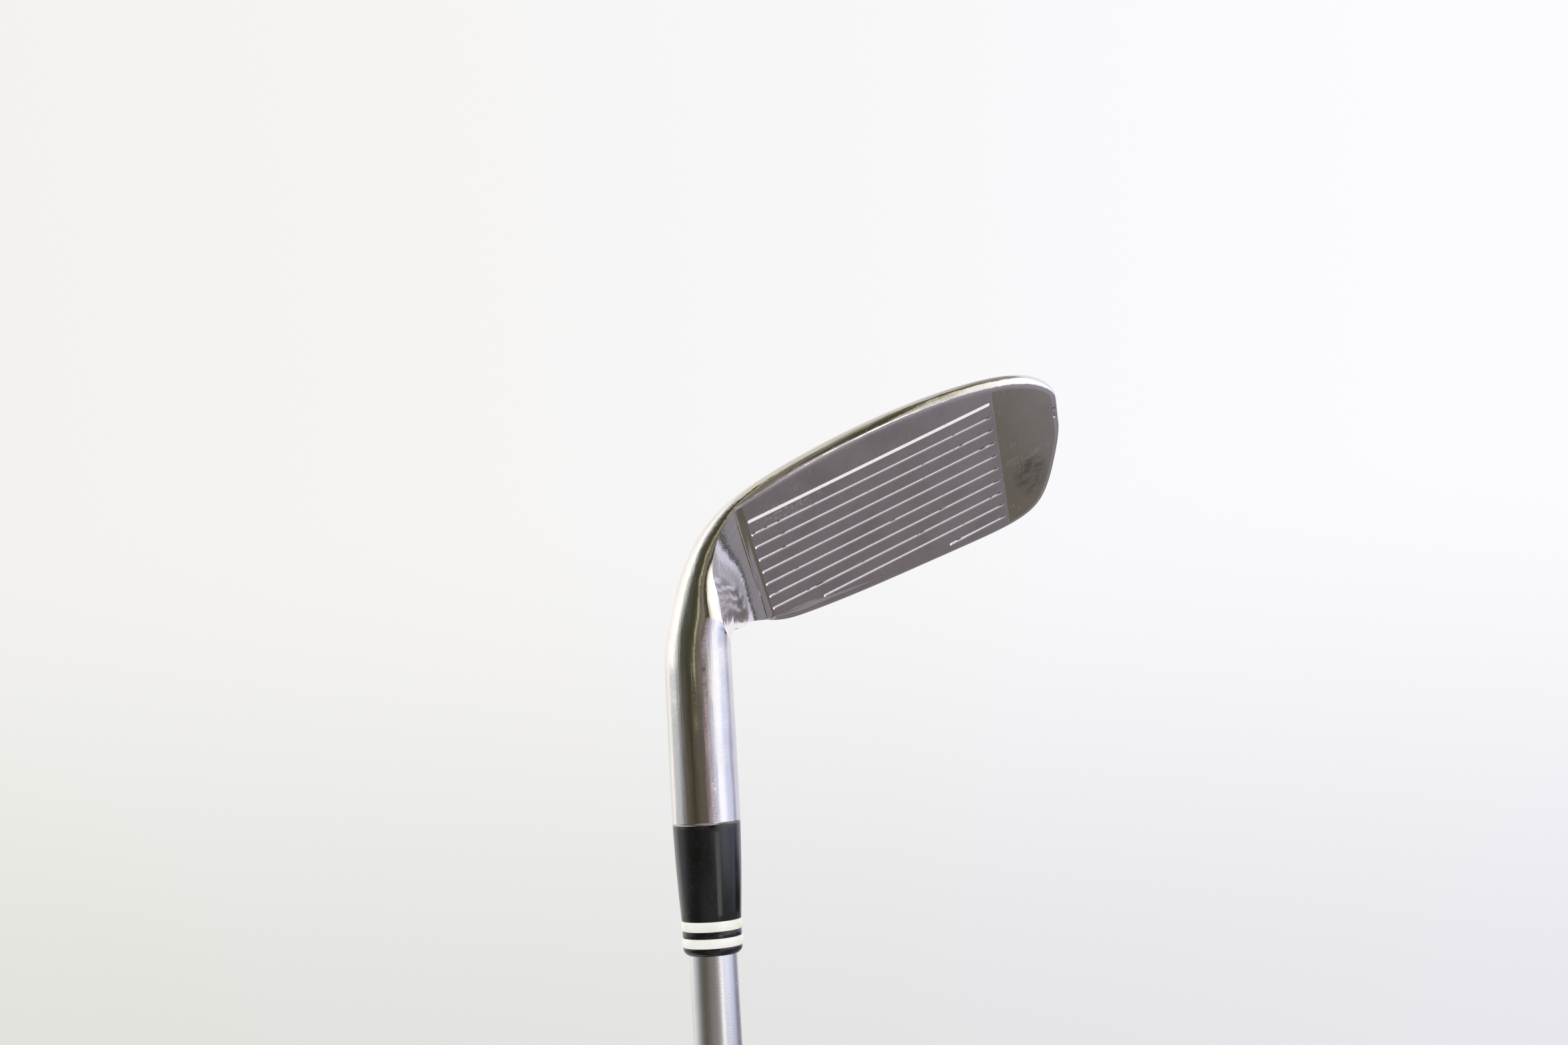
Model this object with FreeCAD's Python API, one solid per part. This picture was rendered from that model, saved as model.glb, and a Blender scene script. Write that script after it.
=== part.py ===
import FreeCAD, Part
import math
import os

from FreeCAD import Vector

# Right-handed iron golf club, standing head up on its grip.
# Z runs up the shaft axis from the butt end (z = 0), X points to the toe, the face looks to -Y.
# Millimetres throughout. The head is drawn with z = 0 at the hosel end, then lifted to JOINT_Z.

# ---- Driving dimensions ------------------------------------------------------------------
JOINT_Z = 850.0           # height of the hosel end, where the ferrule starts
LIE = 66.2                # angle between the shaft and the ground at address
LOFT = 43.5               # angle of the face away from vertical at address

HOSEL_RADIUS = 6.77
BORE_RADIUS = 4.80
BORE_DEPTH = 32.0
BORE_CHAMFER = 0.5

SCORE_START = (12.0, 0.0, 59.7)   # heel end of the lowest score line
SCORE_LENGTH = 57.6
SCORE_PITCH = 3.53
SCORE_COUNT = 10
SCORE_WIDTH = 0.85
SCORE_FLOOR_WIDTH = 0.45
SCORE_DEPTH = 0.40
PAINT_RECESS = 0.03
SHORT_SCORES = {8: 0.205, 9: 0.755}   # share of the length missing at the heel end

FACE_THICKNESS = 3.4
FACE_HEEL = -2.4          # where the flat face ends and the heel hollow starts
FACE_PROUD = 0.07         # how far the skin stands out before the face is milled flat
HOLLOW_CREASE = 22.0      # degrees between the flat face and the start of the hollow
HOLLOW_REACH = 40.0

LEADING_RADIUS = 2.0
TOP_EDGE_RADIUS = 0.9
TOP_BACK_RADIUS = 2.0
TRAILING_RADIUS = 3.0
CROTCH = (8.8, 36.0)      # x and z of the inside of the bend between hosel and blade
CROTCH_RADIUS = 2.0

CAVITY_ROUND = 6.0
BADGE_MARGIN = 2.4
BADGE_THICKNESS = 1.2
GLUE_THICKNESS = 0.3

TIP_RADIUS = 4.70
TIP_BORE = 4.05
TIP_PARALLEL = 60.0       # length below the hosel end that keeps the tip diameter
TIP_CHAMFER = 0.4
BUTT_RADIUS = 7.62
BUTT_BORE = 7.22
WEIGHT_FLANGE = 0.8
WEIGHT_FLANGE_RADIUS = 4.60
WEIGHT_STEM = 18.0

FERRULE_TOP_RADIUS = 6.70
FERRULE_RING_RADIUS = 5.86
FERRULE_END_RADIUS = 5.05
FERRULE_LEVELS = (18.3, 20.2, 21.5, 23.3, 24.8)   # below the hosel end

GRIP_LENGTH = 267.0
GRIP_CAP = 3.5
GRIP_CAP_RADIUS = 13.9
GRIP_MOUTH_RADIUS = 8.0
GRIP_HAND_RADIUS = 12.2
VENT_RADIUS = 1.6
TAPE_THICKNESS = 0.25

# ---- Directions worked out from lie and loft ---------------------------------------------
lie = math.radians(LIE)
loft = math.radians(LOFT)
ALONG = Vector(math.sin(lie), 0, math.cos(lie))          # score lines, heel to toe
LIFT = Vector(math.cos(lie), 0, -math.sin(lie))          # away from the ground at address
BACK = Vector(0, 1, 0)
RISE = LIFT * math.cos(loft) + BACK * math.sin(loft)     # up the face, sole to topline
INWARD = BACK * math.cos(loft) - LIFT * math.sin(loft)   # into the metal, square to the face
START = Vector(*SCORE_START)

# ---- Head stations -----------------------------------------------------------------------
HOSEL_HEIGHTS = (0.0, 4.0, 12.0, 22.0, 31.0)
# Bend rings: turn about the crotch in degrees, reach to the outer side.
BEND = [(22.0, 14.9), (44.0, 17.1)]
# Blade rings: distance along the score lines, leading-edge centre and topline on the face,
# topline thickness, depth of the trailing edge, share of blade shape in the ring.
BLADE = [
    (-12.5, 1.8, 21.0, 5.0, 8.0, 0.20),
    (-8.5, -0.9, 25.0, 6.2, 10.4, 0.42),
    (-4.5, -2.8, 28.0, 7.0, 12.8, 0.70),
    (0.5, -4.1, 29.2, 7.4, 14.6, 0.97),
    (10.0, -5.6, 30.9, 7.6, 16.0, 1.0),
    (24.0, -6.5, 32.4, 7.6, 16.4, 1.0),
    (38.0, -6.2, 33.4, 7.6, 16.4, 1.0),
    (51.0, -4.7, 34.4, 7.6, 16.0, 1.0),
    (61.0, -2.5, 34.8, 7.4, 15.0, 1.0),
    (68.0, 0.1, 31.0, 6.8, 12.4, 1.0),
    (73.2, 3.8, 22.2, 5.8, 9.0, 1.0),
]
TOE_TIP = (75.3, 11.2, 2.6)
TOE_BLUNT = 0.5           # size of the flat control ring at the toe tip against the last station
RING_POLES = 24
# Heel hollow: height on the face, radius of its arc, turn at the arc's end in degrees.
HOLLOW = [(-14.0, 25.0, 60.0), (-3.0, 25.0, 60.0), (12.0, 12.0, 57.4), (40.0, 12.0, 57.4)]
# Cavity outline on the face plane, and the slope of its lower wall away from the face.
CAVITY = [(9.0, 3.5), (58.0, 3.5), (66.0, 11.0), (64.5, 22.0), (55.5, 29.0), (12.0, 25.0)]
CAVITY_SHELF = ((4.5, FACE_THICKNESS), (12.0, 20.0))


def on_face(s, t, d=0.0):
    """Point at s along the score lines, t up the face and d into the metal."""
    return START + ALONG * s + RISE * t + INWARD * d


# ---- Head skin: a smooth surface over rings of control points ------------------------------
def arc_poles(centre, radius, first, last, count):
    """Control points whose smooth curve follows an arc; angles run from the face normal."""
    step = math.radians((last - first) / (count - 1))
    reach = radius * 3.0 / (2.0 + math.cos(step))
    poles = []
    for k in range(count):
        turn = math.radians(first) + step * k
        poles.append((centre[0] - reach * math.sin(turn), centre[1] - reach * math.cos(turn)))
    return poles


def between(a, b, shares, sag=0.0):
    """Control points on the line from a to b, pushed out towards the sole by sag."""
    return [(a[0] + (b[0] - a[0]) * k - sag, a[1] + (b[1] - a[1]) * k + sag) for k in shares]


def blade_section(lead, top, thickness, trailing):
    """Closed blade section in face coordinates: leading edge, sole, back, topline, face."""
    leading = arc_poles((lead, LEADING_RADIUS - FACE_PROUD), LEADING_RADIUS, 0, 128, 5)
    rear = arc_poles((lead + 0.93 * trailing, trailing), TRAILING_RADIUS, 143, 203, 4)
    upper = arc_poles((top - 1.4, thickness - TOP_BACK_RADIUS), TOP_BACK_RADIUS, 203, 270, 3)
    edge = arc_poles((top - 0.3, TOP_EDGE_RADIUS - FACE_PROUD), TOP_EDGE_RADIUS, 270, 360, 3)
    sole = between(leading[-1], rear[0], (0.33, 0.68), sag=0.25)
    back = between(rear[-1], upper[0], (0.33, 0.67))
    face = between(edge[-1], leading[0], (0.17, 0.33, 0.5, 0.67, 0.83))
    return leading + sole + rear + back + upper + edge + face


def oval_section(centre, half_lift, half_back):
    """Closed oval section whose control points pair up with those of blade_section."""
    step = 2 * math.pi / RING_POLES
    reach = 3.0 / (2.0 + math.cos(step))
    poles = []
    for k in range(RING_POLES):
        turn = step * (k + 1)
        lift = centre - half_lift * reach * math.sin(turn)
        poles.append((lift, -half_back * reach * math.cos(turn)))
    return poles


def place_ring(base, across, section):
    return [base + across * q + BACK * b for q, b in section]


def hosel_rings():
    section = oval_section(0, HOSEL_RADIUS, HOSEL_RADIUS)
    return [place_ring(Vector(0, 0, z), Vector(1, 0, 0), section) for z in HOSEL_HEIGHTS]


def bend_rings():
    crotch = Vector(CROTCH[0], 0, CROTCH[1])
    rings = []
    for turn, outer in [(0.0, CROTCH[0] + HOSEL_RADIUS - 0.3)] + BEND:
        angle = math.radians(turn)
        across = Vector(math.cos(angle), 0, -math.sin(angle))
        middle = -(outer + CROTCH_RADIUS) / 2
        section = oval_section(middle, (outer - CROTCH_RADIUS) / 2, HOSEL_RADIUS)
        rings.append(place_ring(crotch, across, section))
    return rings


def blade_rings():
    high = (Vector(CROTCH[0], 0, CROTCH[1]) - START).dot(LIFT) - CROTCH_RADIUS
    rings = []
    for s, lead, top, thickness, trailing, share in BLADE:
        low = RISE.dot(LIFT) * lead - LEADING_RADIUS
        oval = oval_section((low + high) / 2, (high - low) / 2, HOSEL_RADIUS)
        section = []
        for (t, d), (q, b) in zip(blade_section(lead, top, thickness, trailing), oval):
            point = on_face(0, t, d) - START
            lift = q + (point.dot(LIFT) - q) * share
            section.append((lift, b + (point.dot(BACK) - b) * share))
        rings.append(place_ring(START + ALONG * s, LIFT, section))
    return rings


def head_skin():
    """Closed solid under one smooth cubic surface, capped at the hosel end."""
    rings = hosel_rings() + bend_rings() + blade_rings()
    tip = on_face(*TOE_TIP)
    spokes = [(pole - tip) * TOE_BLUNT for pole in rings[-1]]
    rings.append([tip + spoke - ALONG * spoke.dot(ALONG) for spoke in spokes])
    rings.append([tip] * RING_POLES)
    spans = len(rings) - 3
    along_knots = [float(k) for k in range(spans + 1)]
    along_mults = [4] + [1] * (spans - 1) + [4]
    around_knots = [float(k) for k in range(RING_POLES + 1)]
    around_mults = [1] * (RING_POLES + 1)
    surface = Part.BSplineSurface()
    surface.buildFromPolesMultsKnots(
        rings, along_mults, around_mults, along_knots, around_knots, False, True, 3, 3)
    side = surface.toShape()
    rim = [e for e in side.Edges if e.isClosed() and not e.Degenerated and e.CenterOfMass.z < 1]
    skin = Part.Solid(Part.Shell([side, Part.Face(Part.Wire(rim[:1]))]))
    skin.fix(1e-4, 1e-4, 1e-4)
    return skin


# ---- Cuts in the head ----------------------------------------------------------------------
def face_mill():
    outline = [(FACE_HEEL, 0), (120, 0), (120, -50), (FACE_HEEL, -50), (FACE_HEEL, 0)]
    wire = Part.makePolygon([on_face(s, -40, d) for s, d in outline])
    return Part.Face(wire).extrude(RISE * 110)


def hollow_profile(t, radius, last):
    """Outline of the heel hollow at one height: arc from the face edge, then straight out."""
    first = math.radians(HOLLOW_CREASE)
    last = math.radians(last)
    centre_s = FACE_HEEL + radius * math.sin(first)
    centre_d = -radius * math.cos(first)

    def at(turn, extra=0.0):
        s = centre_s - radius * math.sin(turn) - extra * math.cos(turn)
        return on_face(s, t, centre_d + radius * math.cos(turn) - extra * math.sin(turn))

    start = at(first)
    end = at(last)
    far = at(last, HOLLOW_REACH)
    corner = on_face(FACE_HEEL, t, -50)
    arc = Part.Arc(start, at((first + last) / 2), end).toShape()
    lines = [Part.makeLine(a, b) for a, b in ((end, far), (far, corner), (corner, start))]
    return Part.Wire([arc] + lines)


def heel_hollow():
    wires = [hollow_profile(t, radius, last) for t, radius, last in HOLLOW]
    return Part.makeLoft(wires, True, False)


def score_line(index, top, floor):
    """Filled shape of one score line between two depths below the face."""
    slope = (SCORE_WIDTH - SCORE_FLOOR_WIDTH) / 2 / SCORE_DEPTH
    wide = SCORE_WIDTH / 2 - slope * top
    narrow = SCORE_WIDTH / 2 - slope * floor
    first = SCORE_LENGTH * SHORT_SCORES.get(index, 0.0)
    t = SCORE_PITCH * index
    corners = [(t - wide, top), (t + wide, top), (t + narrow, floor), (t - narrow, floor)]
    wire = Part.makePolygon([on_face(first, a, d) for a, d in corners + corners[:1]])
    groove = Part.Face(wire).extrude(ALONG * (SCORE_LENGTH - first))
    ends = []
    for s in (first, SCORE_LENGTH):
        ends.append(Part.makeCone(wide, narrow, floor - top, on_face(s, t, top), INWARD))
    return groove.fuse(ends).removeSplitter()


def rounded_outline(points, radius):
    """Closed outline of straight runs and tangent arcs through 3-D corner points."""
    count = len(points)
    entries = []
    for k in range(count):
        before, corner, after = points[k - 1], points[k], points[(k + 1) % count]
        to_before = (before - corner).normalize()
        to_after = (after - corner).normalize()
        half = to_before.getAngle(to_after) / 2
        run = radius / math.tan(half)
        bisector = (to_before + to_after).normalize()
        middle = corner + bisector * (radius / math.sin(half) - radius)
        entries.append((corner + to_before * run, middle, corner + to_after * run))
    edges = []
    for k in range(count):
        start, middle, end = entries[k]
        edges.append(Part.Arc(start, middle, end).toShape())
        edges.append(Part.makeLine(end, entries[(k + 1) % count][0]))
    return Part.Wire(edges)


def cavity_prism(margin, near, far):
    """Prism on the cavity outline, drawn in by margin, between two depths."""
    centre_s = sum(s for s, t in CAVITY) / len(CAVITY)
    centre_t = sum(t for s, t in CAVITY) / len(CAVITY)
    points = []
    for s, t in CAVITY:
        inward_s = math.copysign(min(margin, abs(centre_s - s)), centre_s - s)
        inward_t = math.copysign(min(margin, abs(centre_t - t)), centre_t - t)
        points.append(on_face(s + inward_s, t + inward_t, near))
    return Part.Face(rounded_outline(points, CAVITY_ROUND - margin / 2)).extrude(INWARD * (far - near))


def cavity():
    """Pocket in the back: the outline's prism, kept above a shelf parallel to the sole."""
    (low_t, low_d), (high_t, high_d) = CAVITY_SHELF
    corners = [(low_t, low_d), (high_t, high_d), (high_t + 40, high_d), (high_t + 40, low_d)]
    wire = Part.makePolygon([on_face(-5, t, d) for t, d in corners + corners[:1]])
    wedge = Part.Face(wire).extrude(ALONG * 90)
    return cavity_prism(0, FACE_THICKNESS, 40).common(wedge)


def hosel_bore():
    bore = Part.makeCylinder(BORE_RADIUS, BORE_DEPTH + 1, Vector(0, 0, -1))
    mouth = Part.makeCone(BORE_RADIUS + BORE_CHAMFER, BORE_RADIUS, BORE_CHAMFER)
    return bore.fuse(mouth)


def club_head():
    head = head_skin().cut(face_mill())
    head = head.cut(heel_hollow())
    head = head.cut([hosel_bore(), cavity()])
    return head.cut([score_line(k, -0.2, SCORE_DEPTH) for k in range(SCORE_COUNT)])


# ---- Pieces turned about the shaft axis ------------------------------------------------------
def turned(outline):
    """Solid of revolution about Z from corner points (radius, z)."""
    points = [Vector(r, 0, z) for r, z in outline]
    face = Part.Face(Part.makePolygon(points + points[:1]))
    return face.revolve(Vector(0, 0, 0), Vector(0, 0, 1), 360)


def turned_arc(inner, low, high, radius_low, radius_high, bulge):
    """Ring about Z whose outer side is an arc that stands out by bulge."""
    a = Vector(radius_low, 0, low)
    b = Vector(radius_high, 0, high)
    crest = (a + b) * 0.5 + Vector(bulge, 0, 0)
    edges = [Part.Arc(a, crest, b).toShape()]
    corners = [b, Vector(inner, 0, high), Vector(inner, 0, low), a]
    edges += [Part.makeLine(p, q) for p, q in zip(corners, corners[1:])]
    return Part.Face(Part.Wire(edges)).revolve(Vector(0, 0, 0), Vector(0, 0, 1), 360)


def ferrule():
    """Body, rings and rounded end of the ferrule, in order down the shaft."""
    body, upper, spacer, lower, end = [-level for level in FERRULE_LEVELS]
    ring = FERRULE_RING_RADIUS
    return {
        "ferrule_body": turned_arc(TIP_RADIUS, body, 0, ring, FERRULE_TOP_RADIUS, 0.12),
        "ferrule_upper_ring": turned_arc(TIP_RADIUS, upper, body, ring, ring, 0.10),
        "ferrule_spacer_ring": turned_arc(TIP_RADIUS, spacer, upper, ring - 0.1, ring - 0.1, 0.04),
        "ferrule_lower_ring": turned_arc(TIP_RADIUS, lower, spacer, ring, ring, 0.10),
        "ferrule_end_ring": turned_arc(TIP_RADIUS, end, lower, FERRULE_END_RADIUS, ring - 0.1, 0.25),
    }


def shaft_radius(z):
    """Outside radius of the shaft at a height above the butt end."""
    taper_top = JOINT_Z - TIP_PARALLEL
    share = min(1.0, (z - GRIP_CAP) / (taper_top - GRIP_CAP))
    return BUTT_RADIUS + (TIP_RADIUS - BUTT_RADIUS) * share


def shaft():
    tip = JOINT_Z + BORE_DEPTH - WEIGHT_FLANGE
    taper_top = JOINT_Z - TIP_PARALLEL
    stem_end = tip - WEIGHT_STEM
    return turned([
        (BUTT_BORE, GRIP_CAP), (BUTT_RADIUS, GRIP_CAP),
        (TIP_RADIUS, taper_top), (TIP_RADIUS, tip - TIP_CHAMFER), (TIP_RADIUS - TIP_CHAMFER, tip),
        (TIP_BORE, tip), (TIP_BORE, stem_end),
    ])


def tip_weight():
    tip = JOINT_Z + BORE_DEPTH - WEIGHT_FLANGE
    stem = Part.makeCylinder(TIP_BORE, WEIGHT_STEM, Vector(0, 0, tip - WEIGHT_STEM))
    flange = Part.makeCylinder(WEIGHT_FLANGE_RADIUS, WEIGHT_FLANGE, Vector(0, 0, tip))
    return stem.fuse(flange).removeSplitter()


def hosel_epoxy():
    low = BORE_CHAMFER
    high = BORE_DEPTH - WEIGHT_FLANGE - TIP_CHAMFER
    return turned([(TIP_RADIUS, low), (BORE_RADIUS, low), (BORE_RADIUS, high), (TIP_RADIUS, high)])


def grip_tape():
    low = GRIP_CAP
    high = GRIP_LENGTH - 5.0
    return turned([
        (shaft_radius(low), low), (shaft_radius(low) + TAPE_THICKNESS, low),
        (shaft_radius(high) + TAPE_THICKNESS, high), (shaft_radius(high), high),
    ])


def grip_sleeve():
    """Rubber sleeve: flared at the cap, tapering to a small bead at the mouth."""
    tape_top = GRIP_LENGTH - 5.0
    step = shaft_radius(tape_top)
    return turned([
        (shaft_radius(GRIP_CAP) + TAPE_THICKNESS, GRIP_CAP), (GRIP_CAP_RADIUS, GRIP_CAP),
        (GRIP_CAP_RADIUS, 7.0), (GRIP_CAP_RADIUS - 0.8, 14.0), (GRIP_HAND_RADIUS, 34.0),
        (GRIP_MOUTH_RADIUS, GRIP_LENGTH - 9.0), (GRIP_MOUTH_RADIUS + 0.35, GRIP_LENGTH - 6.0),
        (GRIP_MOUTH_RADIUS + 0.35, GRIP_LENGTH - 2.0), (GRIP_MOUTH_RADIUS - 0.2, GRIP_LENGTH),
        (shaft_radius(GRIP_LENGTH), GRIP_LENGTH), (step, tape_top),
        (step + TAPE_THICKNESS, tape_top),
    ])


def grip_cap():
    disc = Part.makeCylinder(GRIP_CAP_RADIUS, GRIP_CAP)
    rim = [e for e in disc.Edges if e.isClosed() and e.CenterOfMass.z < 0.1]
    disc = disc.makeFillet(1.8, rim)
    return disc.cut(Part.makeCylinder(VENT_RADIUS, GRIP_CAP + 2, Vector(0, 0, -1)))


def lifted(shape):
    """Shape drawn from the hosel end, moved to its height above the butt end."""
    moved = shape.copy()
    moved.translate(Vector(0, 0, JOINT_Z))
    return moved


def build():
    glue_top = FACE_THICKNESS + GLUE_THICKNESS
    head_pieces = {
        "club_head": club_head(),
        "score_line_paint": score_line(0, PAINT_RECESS, SCORE_DEPTH),
        "badge_adhesive": cavity_prism(BADGE_MARGIN, FACE_THICKNESS, glue_top),
        "cavity_badge": cavity_prism(BADGE_MARGIN, glue_top, glue_top + BADGE_THICKNESS),
        "hosel_epoxy": hosel_epoxy(),
    }
    head_pieces.update(ferrule())
    pieces = {name: lifted(shape) for name, shape in head_pieces.items()}
    pieces["tip_weight"] = tip_weight()
    pieces["shaft"] = shaft()
    pieces["grip_tape"] = grip_tape()
    pieces["grip_sleeve"] = grip_sleeve()
    pieces["grip_cap"] = grip_cap()
    return pieces


os.makedirs("parts", exist_ok=True)
for name, shape in build().items():
    if not shape.isValid() or len(shape.Solids) != 1:
        raise ValueError("bad solid: " + name)
    shape.exportStep("parts/" + name + ".step")
    print(name, round(shape.Volume, 1), shape.optimalBoundingBox(True))
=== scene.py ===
import math

import bpy
from bpy.props import FloatProperty, FloatVectorProperty, IntProperty, PointerProperty
from mathutils import Matrix, Vector


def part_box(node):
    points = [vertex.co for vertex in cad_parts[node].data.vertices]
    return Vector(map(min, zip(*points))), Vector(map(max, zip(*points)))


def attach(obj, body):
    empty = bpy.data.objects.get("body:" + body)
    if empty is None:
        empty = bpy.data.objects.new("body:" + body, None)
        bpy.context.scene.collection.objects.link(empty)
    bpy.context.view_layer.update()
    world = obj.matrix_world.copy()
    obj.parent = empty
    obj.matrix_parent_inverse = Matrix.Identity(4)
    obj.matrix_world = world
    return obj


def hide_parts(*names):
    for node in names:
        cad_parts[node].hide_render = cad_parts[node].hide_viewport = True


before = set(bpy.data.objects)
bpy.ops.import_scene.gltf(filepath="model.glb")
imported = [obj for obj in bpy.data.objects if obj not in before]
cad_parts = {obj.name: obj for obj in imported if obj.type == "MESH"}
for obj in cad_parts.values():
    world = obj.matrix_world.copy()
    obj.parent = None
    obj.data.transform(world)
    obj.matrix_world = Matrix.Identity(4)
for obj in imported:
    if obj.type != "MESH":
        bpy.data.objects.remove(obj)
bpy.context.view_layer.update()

bl_info = {
    "name": "Iron golf club",
    "version": (1, 0, 0),
    "blender": (4, 5, 0),
    "location": "View3D > Sidebar > Golf club",
    "description": "Builds a used iron golf club: steel head, ferrule, shaft and grip",
    "category": "Add Mesh",
}

# The club stands head up on its grip. Z runs up the shaft, X points to the toe, the face looks
# to -Y. The head's own sizes are in millimetres; face_point and placed turn them into metres.
MM = 0.001
HOSEL_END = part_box("ferrule_body")[1].z

# ---- Head stations, in millimetres --------------------------------------------------------
SCORE_START = (12.0, 0.0, 59.7)      # heel end of the lowest score line, from the hosel end
FACE_HEEL = -2.4                     # where the flat face ends and the heel hollow starts
FACE_PROUD = 0.07                    # skin that the face mill takes off
FACE_THICKNESS = 3.4
SHORT_SCORES = {8: 0.205, 9: 0.755}  # share of the length missing at the heel end
RING_POLES = 24
HOSEL_HEIGHTS = (0.0, 4.0, 12.0, 22.0, 31.0)
CROTCH = (8.8, 36.0)                 # inner corner between hosel and blade: centre of its arc
CROTCH_RADIUS = 2.0
BEND_INSET = 0.3                     # how much closer to the crotch the bend's outer side starts
BEND = ((22.0, 14.9), (44.0, 17.1))  # turn about the crotch in degrees, reach to the outer side
# Distance along the score lines, leading-edge centre, topline, topline thickness, depth of the
# trailing edge, share of blade shape in the ring.
BLADE = (
    (-12.5, 1.8, 23.5, 5.0, 8.0, 0.20),
    (-8.5, -0.9, 27.0, 6.2, 10.4, 0.42),
    (-4.5, -2.8, 29.0, 7.0, 12.8, 0.70),
    (0.5, -4.1, 29.2, 7.4, 14.6, 0.97),
    (10.0, -5.6, 30.9, 7.6, 16.0, 1.0),
    (24.0, -6.5, 32.4, 7.6, 16.4, 1.0),
    (38.0, -6.2, 33.4, 7.6, 16.4, 1.0),
    (51.0, -4.7, 34.4, 7.6, 16.0, 1.0),
    (61.0, -2.5, 34.8, 7.4, 15.0, 1.0),
    (68.2, 0.4, 32.6, 6.8, 12.4, 1.0),
    (72.0, 3.4, 22.8, 5.6, 9.0, 1.0),
    (74.1, 5.8, 15.6, 4.8, 7.6, 1.0),
)
TOE_TIP = (75.0, 9.4, 2.5)
TOE_BLUNT = 0.55
LEADING_RADIUS = 2.0
SOLE_BULGE = 0.25
TRAILING_RISE = 0.93                 # place of the trailing edge up the face, against its depth
TOP_EDGE_RADIUS = 0.9
TOP_BACK_RADIUS = 2.0
TRAILING_RADIUS = 3.0
TOP_BACK_INSET = 1.4
TOP_EDGE_INSET = 0.3
HOLLOW_CREASE = 22.0                 # degrees between the flat face and the start of the hollow
HOLLOW_LOW = (-3.0, 25.0, 60.0)      # height on the face, radius of the arc, turn at its end
HOLLOW_HIGH = (12.0, 12.0, 57.4)
HOLLOW_SPAN = (-14.0, 54.0)          # lowest row of the cutter on the face, and its height
HOLLOW_RUNOUT = 20.0                 # straight end beyond the arc
CAVITY = ((9.0, 3.5), (58.0, 3.5), (66.0, 11.0), (64.5, 22.0), (55.5, 29.0), (12.0, 25.0))
CAVITY_SHELF = ((4.5, FACE_THICKNESS), (12.0, 20.0))
CAVITY_ROUND = 6.0
BORE_RADIUS = 4.8
BORE_DEPTH = 32.0
BORE_PROUD = 2.0

# ---- Cutters, wear and painted light, in metres ---------------------------------------------
FACE_MILL = (0.120, 0.110, 0.050)    # block along the score lines, up the face and outwards
FACE_MILL_RISE = 0.015               # its middle above the lowest score line
HOLLOW_OUTWARD = 0.050
HOLLOW_LEAN = 0.004
CAVITY_REACH = 0.036
CORNER_SHARE = 0.55                  # bevel width that rounds a cavity corner by its radius
SCORE_PROUD = 0.0002
SCORE_FLOOR = 0.34                   # width of a score line's floor against its width on the face
# Spots on the face: worn scuffs at the heel, and a painted highlight and a darker patch at the toe;
# middle along and up the face, and half sizes.
TOE_HIGHLIGHT = (0.0650, 0.0178, 0.0070, 0.0016)
TOE_DARK_PATCH = (0.0655, 0.0236, 0.0050, 0.0070)
HEEL_SCUFF = (0.0080, 0.0010, 0.0110, 0.0028)
SHARP_ANGLE = 8.0                    # edges between materials that turn more than this stay sharp
WAVE_SHARE = 0.55                    # height of the polishing waves against the ripple

# ---- Ferrule, shaft and grip, in metres -------------------------------------------------------
TIP_RADIUS = 0.0047                  # shaft tip, and the bore of the ferrule pieces
TIP_WALL = 0.00065
TIP_LENGTH = 0.060                   # parallel length below the hosel
BUTT_WALL = 0.0004
RING_RADIUS = 0.00586
RING_CROWN = 0.00012
SPACER_CROWN = 0.00006
SPACER_STEP = 0.0001                 # how far the black rings stand back from the pale ones
END_CROWN = 0.00030
END_RADIUS = 0.00505
FERRULE_EDGE = 0.00012               # rounding of the ferrule pieces' edges
SLEEVE_EDGE = 0.0004
SLEEVE_BUTT_BORE = 0.00787
VENT_RADIUS = 0.0016
DIMPLES_ROUND = 22
DIMPLES_PER_METRE = 260.0
DIMPLED = (0.030, 0.242)             # lower and upper end of the dimpled part of the grip
DIMPLE_FADE = 0.002

# Pairs of tones that a surface wanders between.
BLASTED_TONES = ((0.62, 0.565, 0.60), (0.53, 0.485, 0.515))
# The score lines' walls take a pale lilac tone, a painted reflection; their dirt takes the dark
# tone.
GROOVE_SHEEN_AND_DIRT_TONES = ((0.80, 0.79, 0.88), (0.06, 0.045, 0.035))
CAVITY_TONES = ((0.42, 0.41, 0.41), (0.34, 0.33, 0.33))
BADGE_TONES = ((0.20, 0.21, 0.24), (0.36, 0.37, 0.40))
FLOOR_TONES = ((0.66, 0.66, 0.655), (0.69, 0.69, 0.685))
# Pale blue-white of the worn scuffs at the heel and of the painted highlight at the toe.
SCUFF_AND_HIGHLIGHT_TONE = (0.95, 0.95, 1.0)
PLASTIC_SCRATCH = (0.35, 0.36, 0.42)
WORN_BLACK = (0.008, 0.008, 0.010)
WORN_WHITE = (0.74, 0.71, 0.60)
WORN_RUBBER = (0.060, 0.058, 0.055)
WORN_PAINT = (0.50, 0.46, 0.42)


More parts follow.
